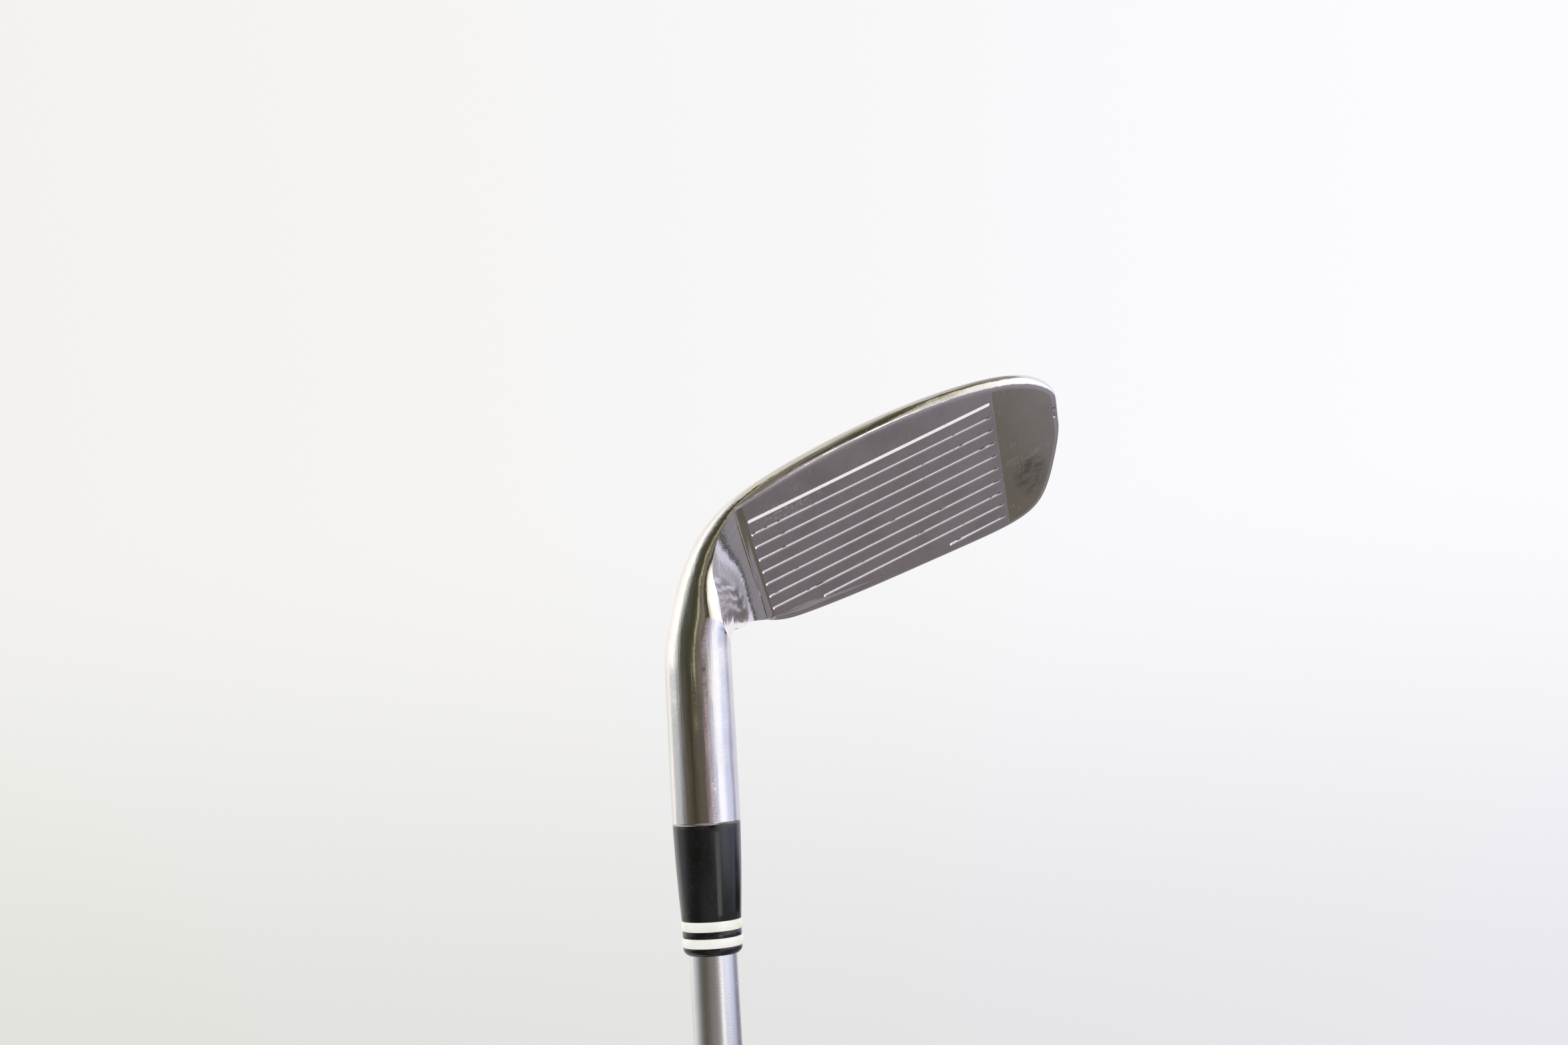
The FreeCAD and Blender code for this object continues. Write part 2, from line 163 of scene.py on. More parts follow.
class HeadSizes(bpy.types.PropertyGroup):
    lie: FloatProperty(
        name="Lie", description="Angle between the shaft and the ground at address",
        default=math.radians(66.2), unit="ROTATION")
    loft: FloatProperty(
        name="Loft", description="Angle of the face away from vertical at address",
        default=math.radians(43.5), unit="ROTATION")
    hosel_radius: FloatProperty(
        name="Hosel radius", description="Outside radius of the hosel",
        default=0.00677, unit="LENGTH")
    score_count: IntProperty(
        name="Score lines", description="Number of score lines on the face", default=10, min=1)
    score_length: FloatProperty(
        name="Score length", description="Length of the longest score lines",
        default=0.0576, unit="LENGTH")
    score_pitch: FloatProperty(
        name="Score pitch", description="Distance from one score line to the next",
        default=0.00353, unit="LENGTH")
    score_width: FloatProperty(
        name="Score width", description="Width of a score line at the face",
        default=0.00085, unit="LENGTH")
    score_depth: FloatProperty(
        name="Score depth", description="Depth of a score line", default=0.0004, unit="LENGTH")
    edge_break: FloatProperty(
        name="Edge break", description="Width of the worn rim round the milled face",
        default=0.0009, unit="LENGTH")


class SteelFinish(bpy.types.PropertyGroup):
    colour: FloatVectorProperty(
        name="Steel colour", description="Colour of the bare steel", subtype="COLOR",
        default=(0.63, 0.60, 0.585), min=0, max=1)
    polish: FloatProperty(
        name="Polish roughness", description="Roughness of the polished steel", default=0.055)
    satin: FloatProperty(
        name="Satin roughness", description="Roughness of the blasted part of the face",
        default=0.33)
    shaft_colour: FloatVectorProperty(
        name="Shaft colour", description="Colour of the plated shaft", subtype="COLOR",
        default=(0.69, 0.69, 0.71), min=0, max=1)
    shaft_roughness: FloatProperty(
        name="Shaft roughness", description="Roughness of the satin shaft", default=0.27)


class PlasticFinish(bpy.types.PropertyGroup):
    black: FloatVectorProperty(
        name="Ferrule black", description="Colour of the ferrule's black plastic",
        subtype="COLOR", default=(0.004, 0.005, 0.005), min=0, max=1)
    white: FloatVectorProperty(
        name="Ring white", description="Colour of the ferrule's pale rings",
        subtype="COLOR", default=(0.80, 0.80, 0.77), min=0, max=1)
    rubber: FloatVectorProperty(
        name="Grip rubber", description="Colour of the grip's rubber", subtype="COLOR",
        default=(0.028, 0.028, 0.030), min=0, max=1)
    paint: FloatVectorProperty(
        name="Score paint", description="Colour of the paint in the lowest score line",
        subtype="COLOR", default=(0.86, 0.86, 0.85), min=0, max=1)


class StudioSettings(bpy.types.PropertyGroup):
    camera_place: FloatVectorProperty(
        name="Camera place", description="Where the camera stands", subtype="TRANSLATION",
        unit="LENGTH", default=(-0.038215, -0.300832, HOSEL_END + 0.017868))
    camera_turn: FloatVectorProperty(
        name="Camera turn", description="How the camera is turned", subtype="EULER",
        unit="ROTATION",
        default=(math.radians(97.7176), math.radians(3.4312), math.radians(-10.3302)))
    lens: FloatProperty(name="Lens", description="Focal length in millimetres", default=34.674)
    floor_radius: FloatProperty(
        name="Floor radius", description="Radius of the pale floor", default=2.6, unit="LENGTH")


# ---- Small helpers -----------------------------------------------------------------------
def deselect():
    if bpy.context.mode != "OBJECT":
        bpy.ops.object.mode_set(mode="OBJECT")
    bpy.ops.object.select_all(action="DESELECT")


def make_active(obj):
    deselect()
    obj.select_set(True)
    bpy.context.view_layer.objects.active = obj


def apply_modifier(obj, kind, **settings):
    """Adds a modifier with these settings and applies it."""
    make_active(obj)
    modifier = obj.modifiers.new(kind.lower(), kind)
    for key, value in settings.items():
        setattr(modifier, key, value)
    bpy.ops.object.modifier_apply(modifier=modifier.name)


def settle(obj, name):
    """Names the object and moves its place into its mesh."""
    make_active(obj)
    bpy.ops.object.transform_apply(location=True, rotation=True, scale=True)
    obj.name = name
    obj.data.name = name
    return obj


def face_outward(obj):
    make_active(obj)
    bpy.ops.object.mode_set(mode="EDIT")
    bpy.ops.mesh.select_all(action="SELECT")
    bpy.ops.mesh.normals_make_consistent(inside=False)
    bpy.ops.object.mode_set(mode="OBJECT")


def smooth(obj, degrees):
    make_active(obj)
    bpy.ops.object.shade_smooth_by_angle(angle=math.radians(degrees))


def dress(obj, material):
    obj.data.materials.clear()
    obj.data.materials.append(material)


def hand_over(obj, slot, *nodes):
    """The finished piece rides on the club and stands for these CAD nodes."""
    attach(obj, "root")
    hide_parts(*nodes)


# ---- The face's own directions --------------------------------------------------------------
def face_axes():
    """Heel to toe, away from the ground, up the face and into the metal."""
    sizes = bpy.context.scene.club_head_sizes
    along = Vector((math.sin(sizes.lie), 0, math.cos(sizes.lie)))
    lift = Vector((math.cos(sizes.lie), 0, -math.sin(sizes.lie)))
    back = Vector((0, 1, 0))
    rise = lift * math.cos(sizes.loft) + back * math.sin(sizes.loft)
    inward = back * math.cos(sizes.loft) - lift * math.sin(sizes.loft)
    return along, lift, rise, inward


def face_start():
    return Vector(SCORE_START) * MM + Vector((0, 0, HOSEL_END))


def face_point(s, t, d=0.0):
    """Point at s along the score lines, t up the face and d into the metal, given in mm."""
    along, _, rise, inward = face_axes()
    return face_start() + (along * s + rise * t + inward * d) * MM


def face_matrix():
    """Places something drawn in s, t and d (as X, Y and Z, in metres) on the face."""
    along, _, rise, inward = face_axes()
    turn = Matrix((along, rise, inward)).transposed().to_4x4()
    return Matrix.Translation(face_start()) @ turn


# ---- Head skin ---------------------------------------------------------------------------------
def arc_poles(centre, radius, first, last, count):
    """Control points whose smooth curve follows an arc; angles run from the face normal."""
    step = math.radians((last - first) / (count - 1))
    reach = radius * 3.0 / (2.0 + math.cos(step))
    turns = [math.radians(first) + step * k for k in range(count)]
    return [(centre[0] - reach * math.sin(a), centre[1] - reach * math.cos(a)) for a in turns]


def between(a, b, shares, sag=0.0):
    """Control points on the line from a to b, pushed out towards the sole by sag."""
    return [(a[0] + (b[0] - a[0]) * k - sag, a[1] + (b[1] - a[1]) * k + sag) for k in shares]


def blade_section(lead, top, thickness, trailing):
    """Closed blade section in face coordinates: leading edge, sole, back, topline, face."""
    leading = arc_poles((lead, LEADING_RADIUS - FACE_PROUD), LEADING_RADIUS, 0, 128, 5)
    rear = arc_poles((lead + TRAILING_RISE * trailing, trailing), TRAILING_RADIUS, 143, 203, 4)
    upper = arc_poles((top - TOP_BACK_INSET, thickness - TOP_BACK_RADIUS), TOP_BACK_RADIUS,
                      203, 270, 3)
    edge = arc_poles((top - TOP_EDGE_INSET, TOP_EDGE_RADIUS - FACE_PROUD), TOP_EDGE_RADIUS,
                     270, 360, 3)
    sole = between(leading[-1], rear[0], (0.33, 0.68), sag=SOLE_BULGE)
    back = between(rear[-1], upper[0], (0.33, 0.67))
    face = between(edge[-1], leading[0], (0.17, 0.33, 0.5, 0.67, 0.83))
    return leading + sole + rear + back + upper + edge + face


def oval_section(centre, half_lift, half_back):
    """Closed oval section whose control points pair up with those of blade_section."""
    step = 2 * math.pi / RING_POLES
    reach = 3.0 / (2.0 + math.cos(step))
    turns = [step * (k + 1) for k in range(RING_POLES)]
    return [(centre - half_lift * reach * math.sin(a), -half_back * reach * math.cos(a))
            for a in turns]


def placed(base, across, section):
    """A section's ring in space: across is the first coordinate, +Y the second."""
    origin = Vector((0, 0, HOSEL_END))
    return [origin + (base + across * q + Vector((0, b, 0))) * MM for q, b in section]


def hosel_and_bend_rings():
    hosel = bpy.context.scene.club_head_sizes.hosel_radius / MM
    crotch = Vector((CROTCH[0], 0, CROTCH[1]))
    circle = oval_section(0, hosel, hosel)
    rings = [placed(Vector((0, 0, z)), Vector((1, 0, 0)), circle) for z in HOSEL_HEIGHTS]
    for turn, outer in ((0.0, CROTCH[0] + hosel - BEND_INSET),) + BEND:
        angle = math.radians(turn)
        across = Vector((math.cos(angle), 0, -math.sin(angle)))
        middle = -(outer + CROTCH_RADIUS) / 2
        oval = oval_section(middle, (outer - CROTCH_RADIUS) / 2, hosel)
        rings.append(placed(crotch, across, oval))
    return rings


def blade_rings():
    hosel = bpy.context.scene.club_head_sizes.hosel_radius / MM
    along, lift, rise, inward = face_axes()
    start = Vector(SCORE_START)
    high = (Vector((CROTCH[0], 0, CROTCH[1])) - start).dot(lift) - CROTCH_RADIUS
    rings = []
    for s, lead, top, thickness, trailing, share in BLADE:
        low = rise.dot(lift) * lead - LEADING_RADIUS
        oval = oval_section((low + high) / 2, (high - low) / 2, hosel)
        section = []
        for (t, d), (q, b) in zip(blade_section(lead, top, thickness, trailing), oval):
            point = rise * t + inward * d
            section.append((q + (point.dot(lift) - q) * share, b + (point.y - b) * share))
        rings.append(placed(start + along * s, lift, section))
    tip = face_point(*TOE_TIP)
    spokes = [(pole - tip) * TOE_BLUNT for pole in rings[-1]]
    rings.append([tip + spoke - along * spoke.dot(along) for spoke in spokes])
    return rings


def head_skin():
    """A grid rolled into a tube on the control rings, closed at the toe and subdivided."""
    rings = hosel_and_bend_rings() + blade_rings()
    deselect()
    bpy.ops.mesh.primitive_grid_add(x_subdivisions=RING_POLES, y_subdivisions=len(rings) - 1)
    skin = bpy.context.object
    columns = RING_POLES + 1
    for index, vertex in enumerate(skin.data.vertices):
        vertex.co = rings[index // columns][index % columns % RING_POLES]
    bpy.ops.object.mode_set(mode="EDIT")
    bpy.ops.mesh.select_all(action="SELECT")
    bpy.ops.mesh.remove_doubles(threshold=1e-6)
    close_opening(skin, lambda place: place.z > HOSEL_END + 0.001, grid=True)
    apply_modifier(skin, "SUBSURF", levels=3, render_levels=3, boundary_smooth="PRESERVE_CORNERS")
    close_opening(skin, lambda place: place.z < HOSEL_END + 0.001, grid=False)
    face_outward(skin)
    return skin


def close_opening(obj, inside, grid):
    """Closes the open edges whose middle passes the test, with a grid or one flat face."""
    make_active(obj)
    bpy.ops.object.mode_set(mode="EDIT")
    bpy.ops.mesh.select_mode(type="EDGE")
    bpy.ops.mesh.select_all(action="DESELECT")
    bpy.ops.mesh.select_non_manifold(extend=False, use_boundary=True, use_wire=False,
                                     use_multi_face=False, use_non_contiguous=False,
                                     use_verts=False)
    bpy.ops.object.mode_set(mode="OBJECT")
    vertices = obj.data.vertices
    for edge in obj.data.edges:
        middle = (vertices[edge.vertices[0]].co + vertices[edge.vertices[1]].co) / 2
        edge.select = edge.select and inside(middle)
    bpy.ops.object.mode_set(mode="EDIT")
    if grid:
        bpy.ops.mesh.fill_grid(span=RING_POLES // 4)
    else:
        bpy.ops.mesh.edge_face_add()
    bpy.ops.object.mode_set(mode="OBJECT")


# ---- Cutters for the head ------------------------------------------------------------------------
def face_cutter():
    """Block whose inner side is the flat face."""
    deselect()
    bpy.ops.mesh.primitive_cube_add(size=1)
    cutter = bpy.context.object
    size = Vector(FACE_MILL)
    centre = Vector((FACE_HEEL * MM + size.x / 2, FACE_MILL_RISE, -size.z / 2))
    block = Matrix.Translation(centre) @ Matrix.Diagonal(size.to_4d())
    cutter.data.transform(face_matrix() @ block)
    return cutter


def hollow_cutter():
    """Block whose inner side is the heel hollow: an arc that tightens up the face."""
    rows, columns = 40, 64
    deselect()
    bpy.ops.mesh.primitive_grid_add(x_subdivisions=columns, y_subdivisions=rows)
    cutter = bpy.context.object
    low_t, low_radius, low_turn = HOLLOW_LOW
    high_t, high_radius, high_turn = HOLLOW_HIGH
    first = math.radians(HOLLOW_CREASE)
    for index, vertex in enumerate(cutter.data.vertices):
        row, column = divmod(index, columns + 1)
        t = HOLLOW_SPAN[0] + HOLLOW_SPAN[1] * row / rows
        k = min(1.0, max(0.0, (t - low_t) / (high_t - low_t)))
        k = k * k * (3 - 2 * k)
        radius = low_radius + (high_radius - low_radius) * k
        last = math.radians(low_turn + (high_turn - low_turn) * k)
        arc = min(1.0, column / (columns - 2))
        straight = HOLLOW_RUNOUT * max(0, column - (columns - 2))
        turn = first + (last - first) * arc
        s = FACE_HEEL + radius * (math.sin(first) - math.sin(turn)) - straight * math.cos(turn)
        d = radius * (math.cos(turn) - math.cos(first)) - straight * math.sin(turn)
        vertex.co = face_point(s, t, d)
    bpy.ops.object.mode_set(mode="EDIT")
    bpy.ops.mesh.select_all(action="SELECT")
    along, _, _, inward = face_axes()
    outward = inward * -HOLLOW_OUTWARD + along * HOLLOW_LEAN
    bpy.ops.mesh.extrude_region_move(TRANSFORM_OT_translate={"value": outward})
    bpy.ops.object.mode_set(mode="OBJECT")
    face_outward(cutter)
    return cutter


def score_cutter():
    """One tapered slot for each score line, each an object of its own."""
    sizes = bpy.context.scene.club_head_sizes
    depth = sizes.score_depth
    half_width = sizes.score_width / 2
    floor_half = sizes.score_width * SCORE_FLOOR / 2
    top_half = half_width + (half_width - floor_half) * SCORE_PROUD / depth
    slots = []
    for index in range(sizes.score_count):
        first = sizes.score_length * SHORT_SCORES.get(index, 0.0)
        deselect()
        bpy.ops.mesh.primitive_cone_add(
            vertices=32, radius1=top_half, radius2=floor_half, depth=depth + SCORE_PROUD,
            location=(0, 0, (depth - SCORE_PROUD) / 2))
        slot = settle(bpy.context.object, "slot")
        bpy.ops.object.mode_set(mode="EDIT")
        bpy.ops.mesh.select_all(action="SELECT")
        bpy.ops.mesh.bisect(plane_co=(0, 0, 0), plane_no=(1, 0, 0))
        bpy.ops.object.mode_set(mode="OBJECT")
        stretch = sizes.score_length - first
        for vertex in slot.data.vertices:
            if vertex.co.x > 1e-7:
                vertex.co.x += stretch
            vertex.co.x += first
            vertex.co.y += sizes.score_pitch * index
        slot.data.transform(face_matrix())
        slots.append(slot)
    return slots


def cavity_cutter():
    """Prism on the rounded cavity outline, trimmed by the shelf above the sole."""
    deselect()
    bpy.ops.mesh.primitive_circle_add(vertices=len(CAVITY), radius=1, fill_type="NGON")
    cutter = bpy.context.object
    for vertex, (s, t) in zip(cutter.data.vertices, CAVITY):
        vertex.co = face_point(s, t, FACE_THICKNESS)
    bpy.ops.object.mode_set(mode="EDIT")
    bpy.ops.mesh.select_all(action="SELECT")
    bpy.ops.mesh.bevel(offset=CAVITY_ROUND * MM * CORNER_SHARE, segments=10, affect="VERTICES",
                       profile=0.5)
    bpy.ops.mesh.select_all(action="SELECT")
    depth = face_axes()[3] * CAVITY_REACH
    bpy.ops.mesh.extrude_region_move(TRANSFORM_OT_translate={"value": depth})
    bpy.ops.mesh.select_all(action="SELECT")
    (low_t, low_d), (high_t, high_d) = CAVITY_SHELF
    low, high = face_point(30, low_t, low_d), face_point(30, high_t, high_d)
    shelf_normal = face_axes()[0].cross(high - low).normalized()
    bpy.ops.mesh.bisect(plane_co=low, plane_no=shelf_normal, use_fill=True, clear_inner=False,
                        clear_outer=True)
    bpy.ops.object.mode_set(mode="OBJECT")
    face_outward(cutter)
    return cutter


def bore_cutter():
    deselect()
    bpy.ops.mesh.primitive_cylinder_add(
        vertices=96, radius=BORE_RADIUS * MM, depth=(BORE_DEPTH + BORE_PROUD) * MM,
        location=(0, 0, HOSEL_END + (BORE_DEPTH - BORE_PROUD) / 2 * MM))
    return settle(bpy.context.object, "bore")


def cut(obj, cutter, material):
    """Takes the cutter out of the piece; the cut surfaces carry the cutter's material."""
    dress(cutter, material)
    apply_modifier(obj, "BOOLEAN", object=cutter, operation="DIFFERENCE", solver="EXACT",
                   material_mode="TRANSFER")
    bpy.data.objects.remove(cutter)


def join(pieces):
    deselect()
    for piece in pieces:
        piece.select_set(True)
    bpy.context.view_layer.objects.active = pieces[0]
    bpy.ops.object.join()
    return bpy.context.object


def soften_border(obj, material, width):
    """Gives the flat surface of this material a narrow rim, so that its shading can turn there."""
    index = obj.data.materials.find(material.name)
    make_active(obj)
    bpy.ops.object.mode_set(mode="EDIT")
    bpy.ops.mesh.select_mode(type="FACE")
    bpy.ops.mesh.select_all(action="DESELECT")
    bpy.ops.object.mode_set(mode="OBJECT")
    for polygon in obj.data.polygons:
        polygon.select = polygon.material_index == index
    bpy.ops.object.mode_set(mode="EDIT")
    bpy.ops.mesh.inset(thickness=width, use_even_offset=False)
    bpy.ops.mesh.select_mode(type="VERT")
    bpy.ops.object.mode_set(mode="OBJECT")


def sharpen_between_materials(obj, *soft_pair):
    """Smooth shading that breaks where two materials meet, unless they are the soft pair."""
    make_active(obj)
    bpy.ops.object.shade_smooth()
    mesh = obj.data
    soft = {mesh.materials.find(material.name) for material in soft_pair}
    beside = {}
    for polygon in mesh.polygons:
        for key in polygon.edge_keys:
            beside.setdefault(key, []).append(polygon)
    sharp = []
    for edge in mesh.edges:
        first, last = beside[edge.key][0], beside[edge.key][-1]
        pair = {first.material_index, last.material_index}
        turned = first.normal.angle(last.normal, 0.0) > math.radians(SHARP_ANGLE)
        sharp.append(turned and len(pair) > 1 and pair != soft)
    mesh.attributes.new("sharp_edge", "BOOLEAN", "EDGE")
    mesh.attributes["sharp_edge"].data.foreach_set("value", sharp)


# ---- Node trees --------------------------------------------------------------------------------
class Recipe:
    """Adds nodes to a tree; an input that is given a socket is linked to it."""

    def __init__(self, tree):
        self.tree = tree

    def add(self, kind, inputs=None, **settings):
        node = self.tree.nodes.new("ShaderNode" + kind)
        for key, value in settings.items():
            setattr(node, key, value)
        for key, value in (inputs or {}).items():
            self.feed(node.inputs[key], value)
        return node

    def feed(self, socket, value):
        if isinstance(value, bpy.types.NodeSocket):
            self.tree.links.new(value, socket)
        else:
            socket.default_value = value

    def math(self, operation, a, b=0.0):
        node = self.add("Math", {0: a, 1: b}, operation=operation)
        return node.outputs[0]

    def times(self, a, b):
        return self.math("MULTIPLY", a, b)

    def plus(self, a, b):
        return self.math("ADD", a, b)

    def minus(self, a, b):
        return self.math("SUBTRACT", a, b)

    def most(self, a, b):
        return self.math("MAXIMUM", a, b)

    def ramp(self, value, low, high, start=0.0, end=1.0):
        """Smooth step from start to end while value goes from low to high."""
        node = self.add("MapRange", {"Value": value, "From Min": low, "From Max": high,
                                     "To Min": start, "To Max": end},
                        interpolation_type="SMOOTHSTEP")
        return node.outputs["Result"]

    def ramp_line(self, value, low, high):
        """Straight line from 0 to 1 while value goes from low to high."""
        node = self.add("MapRange", {"Value": value, "From Min": low, "From Max": high})
        return node.outputs["Result"]

    def window(self, value, start, full, fade, end):
        """1 between full and fade, falling smoothly to 0 at start and end."""
        falling = self.ramp(value, fade, end, 1.0, 0.0)
        return self.times(self.ramp(value, start, full), falling)

    def spot(self, place, s, t, half_s, half_t):
        """Soft oval spot on the face, 1 at its middle; sizes in metres."""
        squares = []
        for value, middle, half in ((place["X"], s, half_s), (place["Y"], t, half_t)):
            share = self.math("DIVIDE", self.minus(value, middle), half)
            squares.append(self.math("POWER", self.math("ABSOLUTE", share), 2.0))
        reach = self.plus(*squares)
        return self.ramp(reach, 0.1, 1.0, 1.0, 0.0)

    def blend(self, share, a, b):
        """Colour between a and b."""
        node = self.add("Mix", {"Factor": share}, data_type="RGBA")
        self.feed(node.inputs[6], a)
        self.feed(node.inputs[7], b)
        return node.outputs[2]

    def tones(self, share, pair):
        """Colour between the two tones of a pair."""
        return self.blend(share, rgba(pair[0]), rgba(pair[1]))

    def level(self, share, a, b):
        """Number between a and b."""
        node = self.add("Mix", {"Factor": share}, data_type="FLOAT")
        self.feed(node.inputs[2], a)
        self.feed(node.inputs[3], b)
        return node.outputs[0]

    def noise(self, vector, scale, detail=2.0, roughness=0.5):
        node = self.add("TexNoise", {"Vector": vector, "Scale": scale, "Detail": detail,
                                     "Roughness": roughness})
        return node.outputs["Fac"]

    def stretched(self, vector, scale, turn=(0, 0, 0)):
        node = self.add("Mapping", {"Vector": vector, "Rotation": turn, "Scale": scale})
        return node.outputs["Vector"]


def rgba(colour, k=1.0):
    return (colour[0] * k, colour[1] * k, colour[2] * k, 1.0)


def group_tree(name, inputs, outputs):
    """New shader node group with named float or vector inputs and float outputs."""
    tree = bpy.data.node_groups.new(name, "ShaderNodeTree")
    for label, value in inputs:
        kind = "NodeSocketVector" if value is None else "NodeSocketFloat"
        socket = tree.interface.new_socket(label, in_out="INPUT", socket_type=kind)
        if value is not None:
            socket.default_value = value
    for label in outputs:
        tree.interface.new_socket(label, in_out="OUTPUT", socket_type="NodeSocketFloat")
    entry = tree.nodes.new("NodeGroupInput")
    exit_node = tree.nodes.new("NodeGroupOutput")
    return Recipe(tree), entry.outputs, exit_node.inputs


def scratch_group():
    """Thin broken scratches in three directions."""
    name = "Fine scratches"
    if name in bpy.data.node_groups:
        return bpy.data.node_groups[name]
    recipe, given, made = group_tree(
        name, [("Vector", None), ("Scale", 60.0), ("Width", 0.01), ("Amount", 0.5)], ["Mask"])
    total = None
    for turn, seed in ((0.35, 3.0), (-0.6, 11.0), (1.35, 23.0)):
        moved = recipe.add("VectorMath", {0: given["Vector"], 1: (seed, seed * 0.7, seed * 0.3)})
        lines = recipe.stretched(moved.outputs[0], (1.0, 0.012, 1.0), (0.2, turn, turn))
        ridge = recipe.minus(recipe.noise(lines, given["Scale"], 1.0), 0.5)
        ridge = recipe.math("ABSOLUTE", ridge)
        line = recipe.add("MapRange", {"Value": ridge, "From Min": 0.0, "From Max": given["Width"],
                                       "To Min": 1.0, "To Max": 0.0}).outputs[0]
        patch = recipe.noise(moved.outputs[0], recipe.times(given["Scale"], 1.6), 2.0)
        line = recipe.times(line, recipe.ramp(patch, 0.56, 0.66))
        total = line if total is None else recipe.most(total, line)
    recipe.feed(made["Mask"], recipe.times(total, given["Amount"]))
    return recipe.tree


def smudge_group():
    """Soft cloudy patches, such as handling marks and haze."""
    name = "Handling haze"
    if name in bpy.data.node_groups:
        return bpy.data.node_groups[name]
    recipe, given, made = group_tree(name, [("Vector", None), ("Scale", 40.0)], ["Mask"])
    cloud = recipe.noise(given["Vector"], given["Scale"], 4.0, 0.6)
    recipe.feed(made["Mask"], recipe.ramp(cloud, 0.38, 0.72))
    return recipe.tree


def grain_group():
    """Fine even grain of a blasted or moulded surface."""
    name = "Blasted grain"
    if name in bpy.data.node_groups:
        return bpy.data.node_groups[name]
    recipe, given, made = group_tree(name, [("Vector", None), ("Size", 4000.0)], ["Height"])
    fine = recipe.noise(given["Vector"], given["Size"], 2.0)
    coarse = recipe.noise(given["Vector"], recipe.times(given["Size"], 0.35), 2.0)
    recipe.feed(made["Height"], recipe.plus(fine, coarse))
    return recipe.tree


def place_group(recipe, tree, inputs):
    node = recipe.tree.nodes.new("ShaderNodeGroup")
    node.node_tree = tree
    for key, value in inputs.items():
        recipe.feed(node.inputs[key], value)
    return node.outputs


def haze_mask(recipe, vector, scale):
    return place_group(recipe, smudge_group(), {"Vector": vector, "Scale": scale})["Mask"]


def scratch_mask(recipe, vector, scale, width, amount):
    return place_group(recipe, scratch_group(), {
        "Vector": vector, "Scale": scale, "Width": width, "Amount": amount})["Mask"]


def grain_height(recipe, vector, size):
    return place_group(recipe, grain_group(), {"Vector": vector, "Size": size})["Height"]


def new_material(name, **settings):
    """Material with a Principled shader; plain values are set on the shader's own sockets."""
    material = bpy.data.materials.new(name)
    material.use_nodes = True
    shader = material.node_tree.nodes["Principled BSDF"]
    for key, value in settings.items():
        shader.inputs[key.replace("_", " ")].default_value = value
    recipe = Recipe(material.node_tree)
    coords = recipe.add("TexCoord").outputs["Object"]
    return material, recipe, shader.inputs, coords


def face_coordinates(recipe, coords):
    """Object coordinates turned to the face: X heel to toe, Y up the face, Z into the metal."""
    place = face_matrix()
    node = recipe.add("Mapping", {"Vector": coords, "Location": place.translation,
                                  "Rotation": place.to_euler()}, vector_type="TEXTURE")
    parts = recipe.add("SeparateXYZ", {"Vector": node.outputs[0]})
    return node.outputs[0], parts.outputs


def bump(recipe, height, distance):
    return recipe.add("Bump", {"Height": height, "Distance": distance}).outputs["Normal"]


def polished_steel(name="Polished steel", extra_roughness=0.0, painted_brightening=1.0):
    """Mirror polish with haze, fine scratches, lengthwise polishing waves and a slight ripple."""
    finish = bpy.context.scene.club_steel
    material, recipe, sockets, coords = new_material(name, Metallic=1.0)
    on_face, place = face_coordinates(recipe, coords)
    haze = haze_mask(recipe, coords, 130.0)
    marks = scratch_mask(recipe, coords, 420.0, width=0.006, amount=0.8)
    low = finish.polish + extra_roughness
    rough = recipe.level(haze, low, low + 0.05)
    rough = recipe.plus(rough, recipe.times(marks, 0.25))
    recipe.feed(sockets["Roughness"], rough)
    # A factor above 1 brightens the steel's base colour beyond its own: painted reflected light.
    recipe.feed(sockets["Base Color"], recipe.blend(haze, rgba(finish.colour, painted_brightening),
                                                    rgba(finish.colour, 0.93 * painted_brightening)))
    along_hosel = recipe.stretched(coords, (1.0, 1.0, 0.07))
    along_blade = recipe.stretched(on_face, (0.07, 1.0, 1.0))
    hosel_waves = recipe.noise(along_hosel, 420.0, 3.0, 0.6)
    blade_waves = recipe.noise(along_blade, 700.0, 3.0, 0.6)
    blade = recipe.ramp(place["X"], -0.014, -0.004)
    waves = recipe.level(blade, hosel_waves, blade_waves)
    ripple = recipe.times(recipe.noise(coords, 90.0, 1.0), 1.6)
    mottle = recipe.times(recipe.noise(coords, 620.0, 3.0, 0.65), 0.14)
    height = recipe.plus(recipe.times(waves, WAVE_SHARE), recipe.plus(ripple, mottle))
    height = recipe.minus(height, recipe.times(marks, 0.02))
    recipe.feed(sockets["Normal"], bump(recipe, height, 0.00016))
    return material


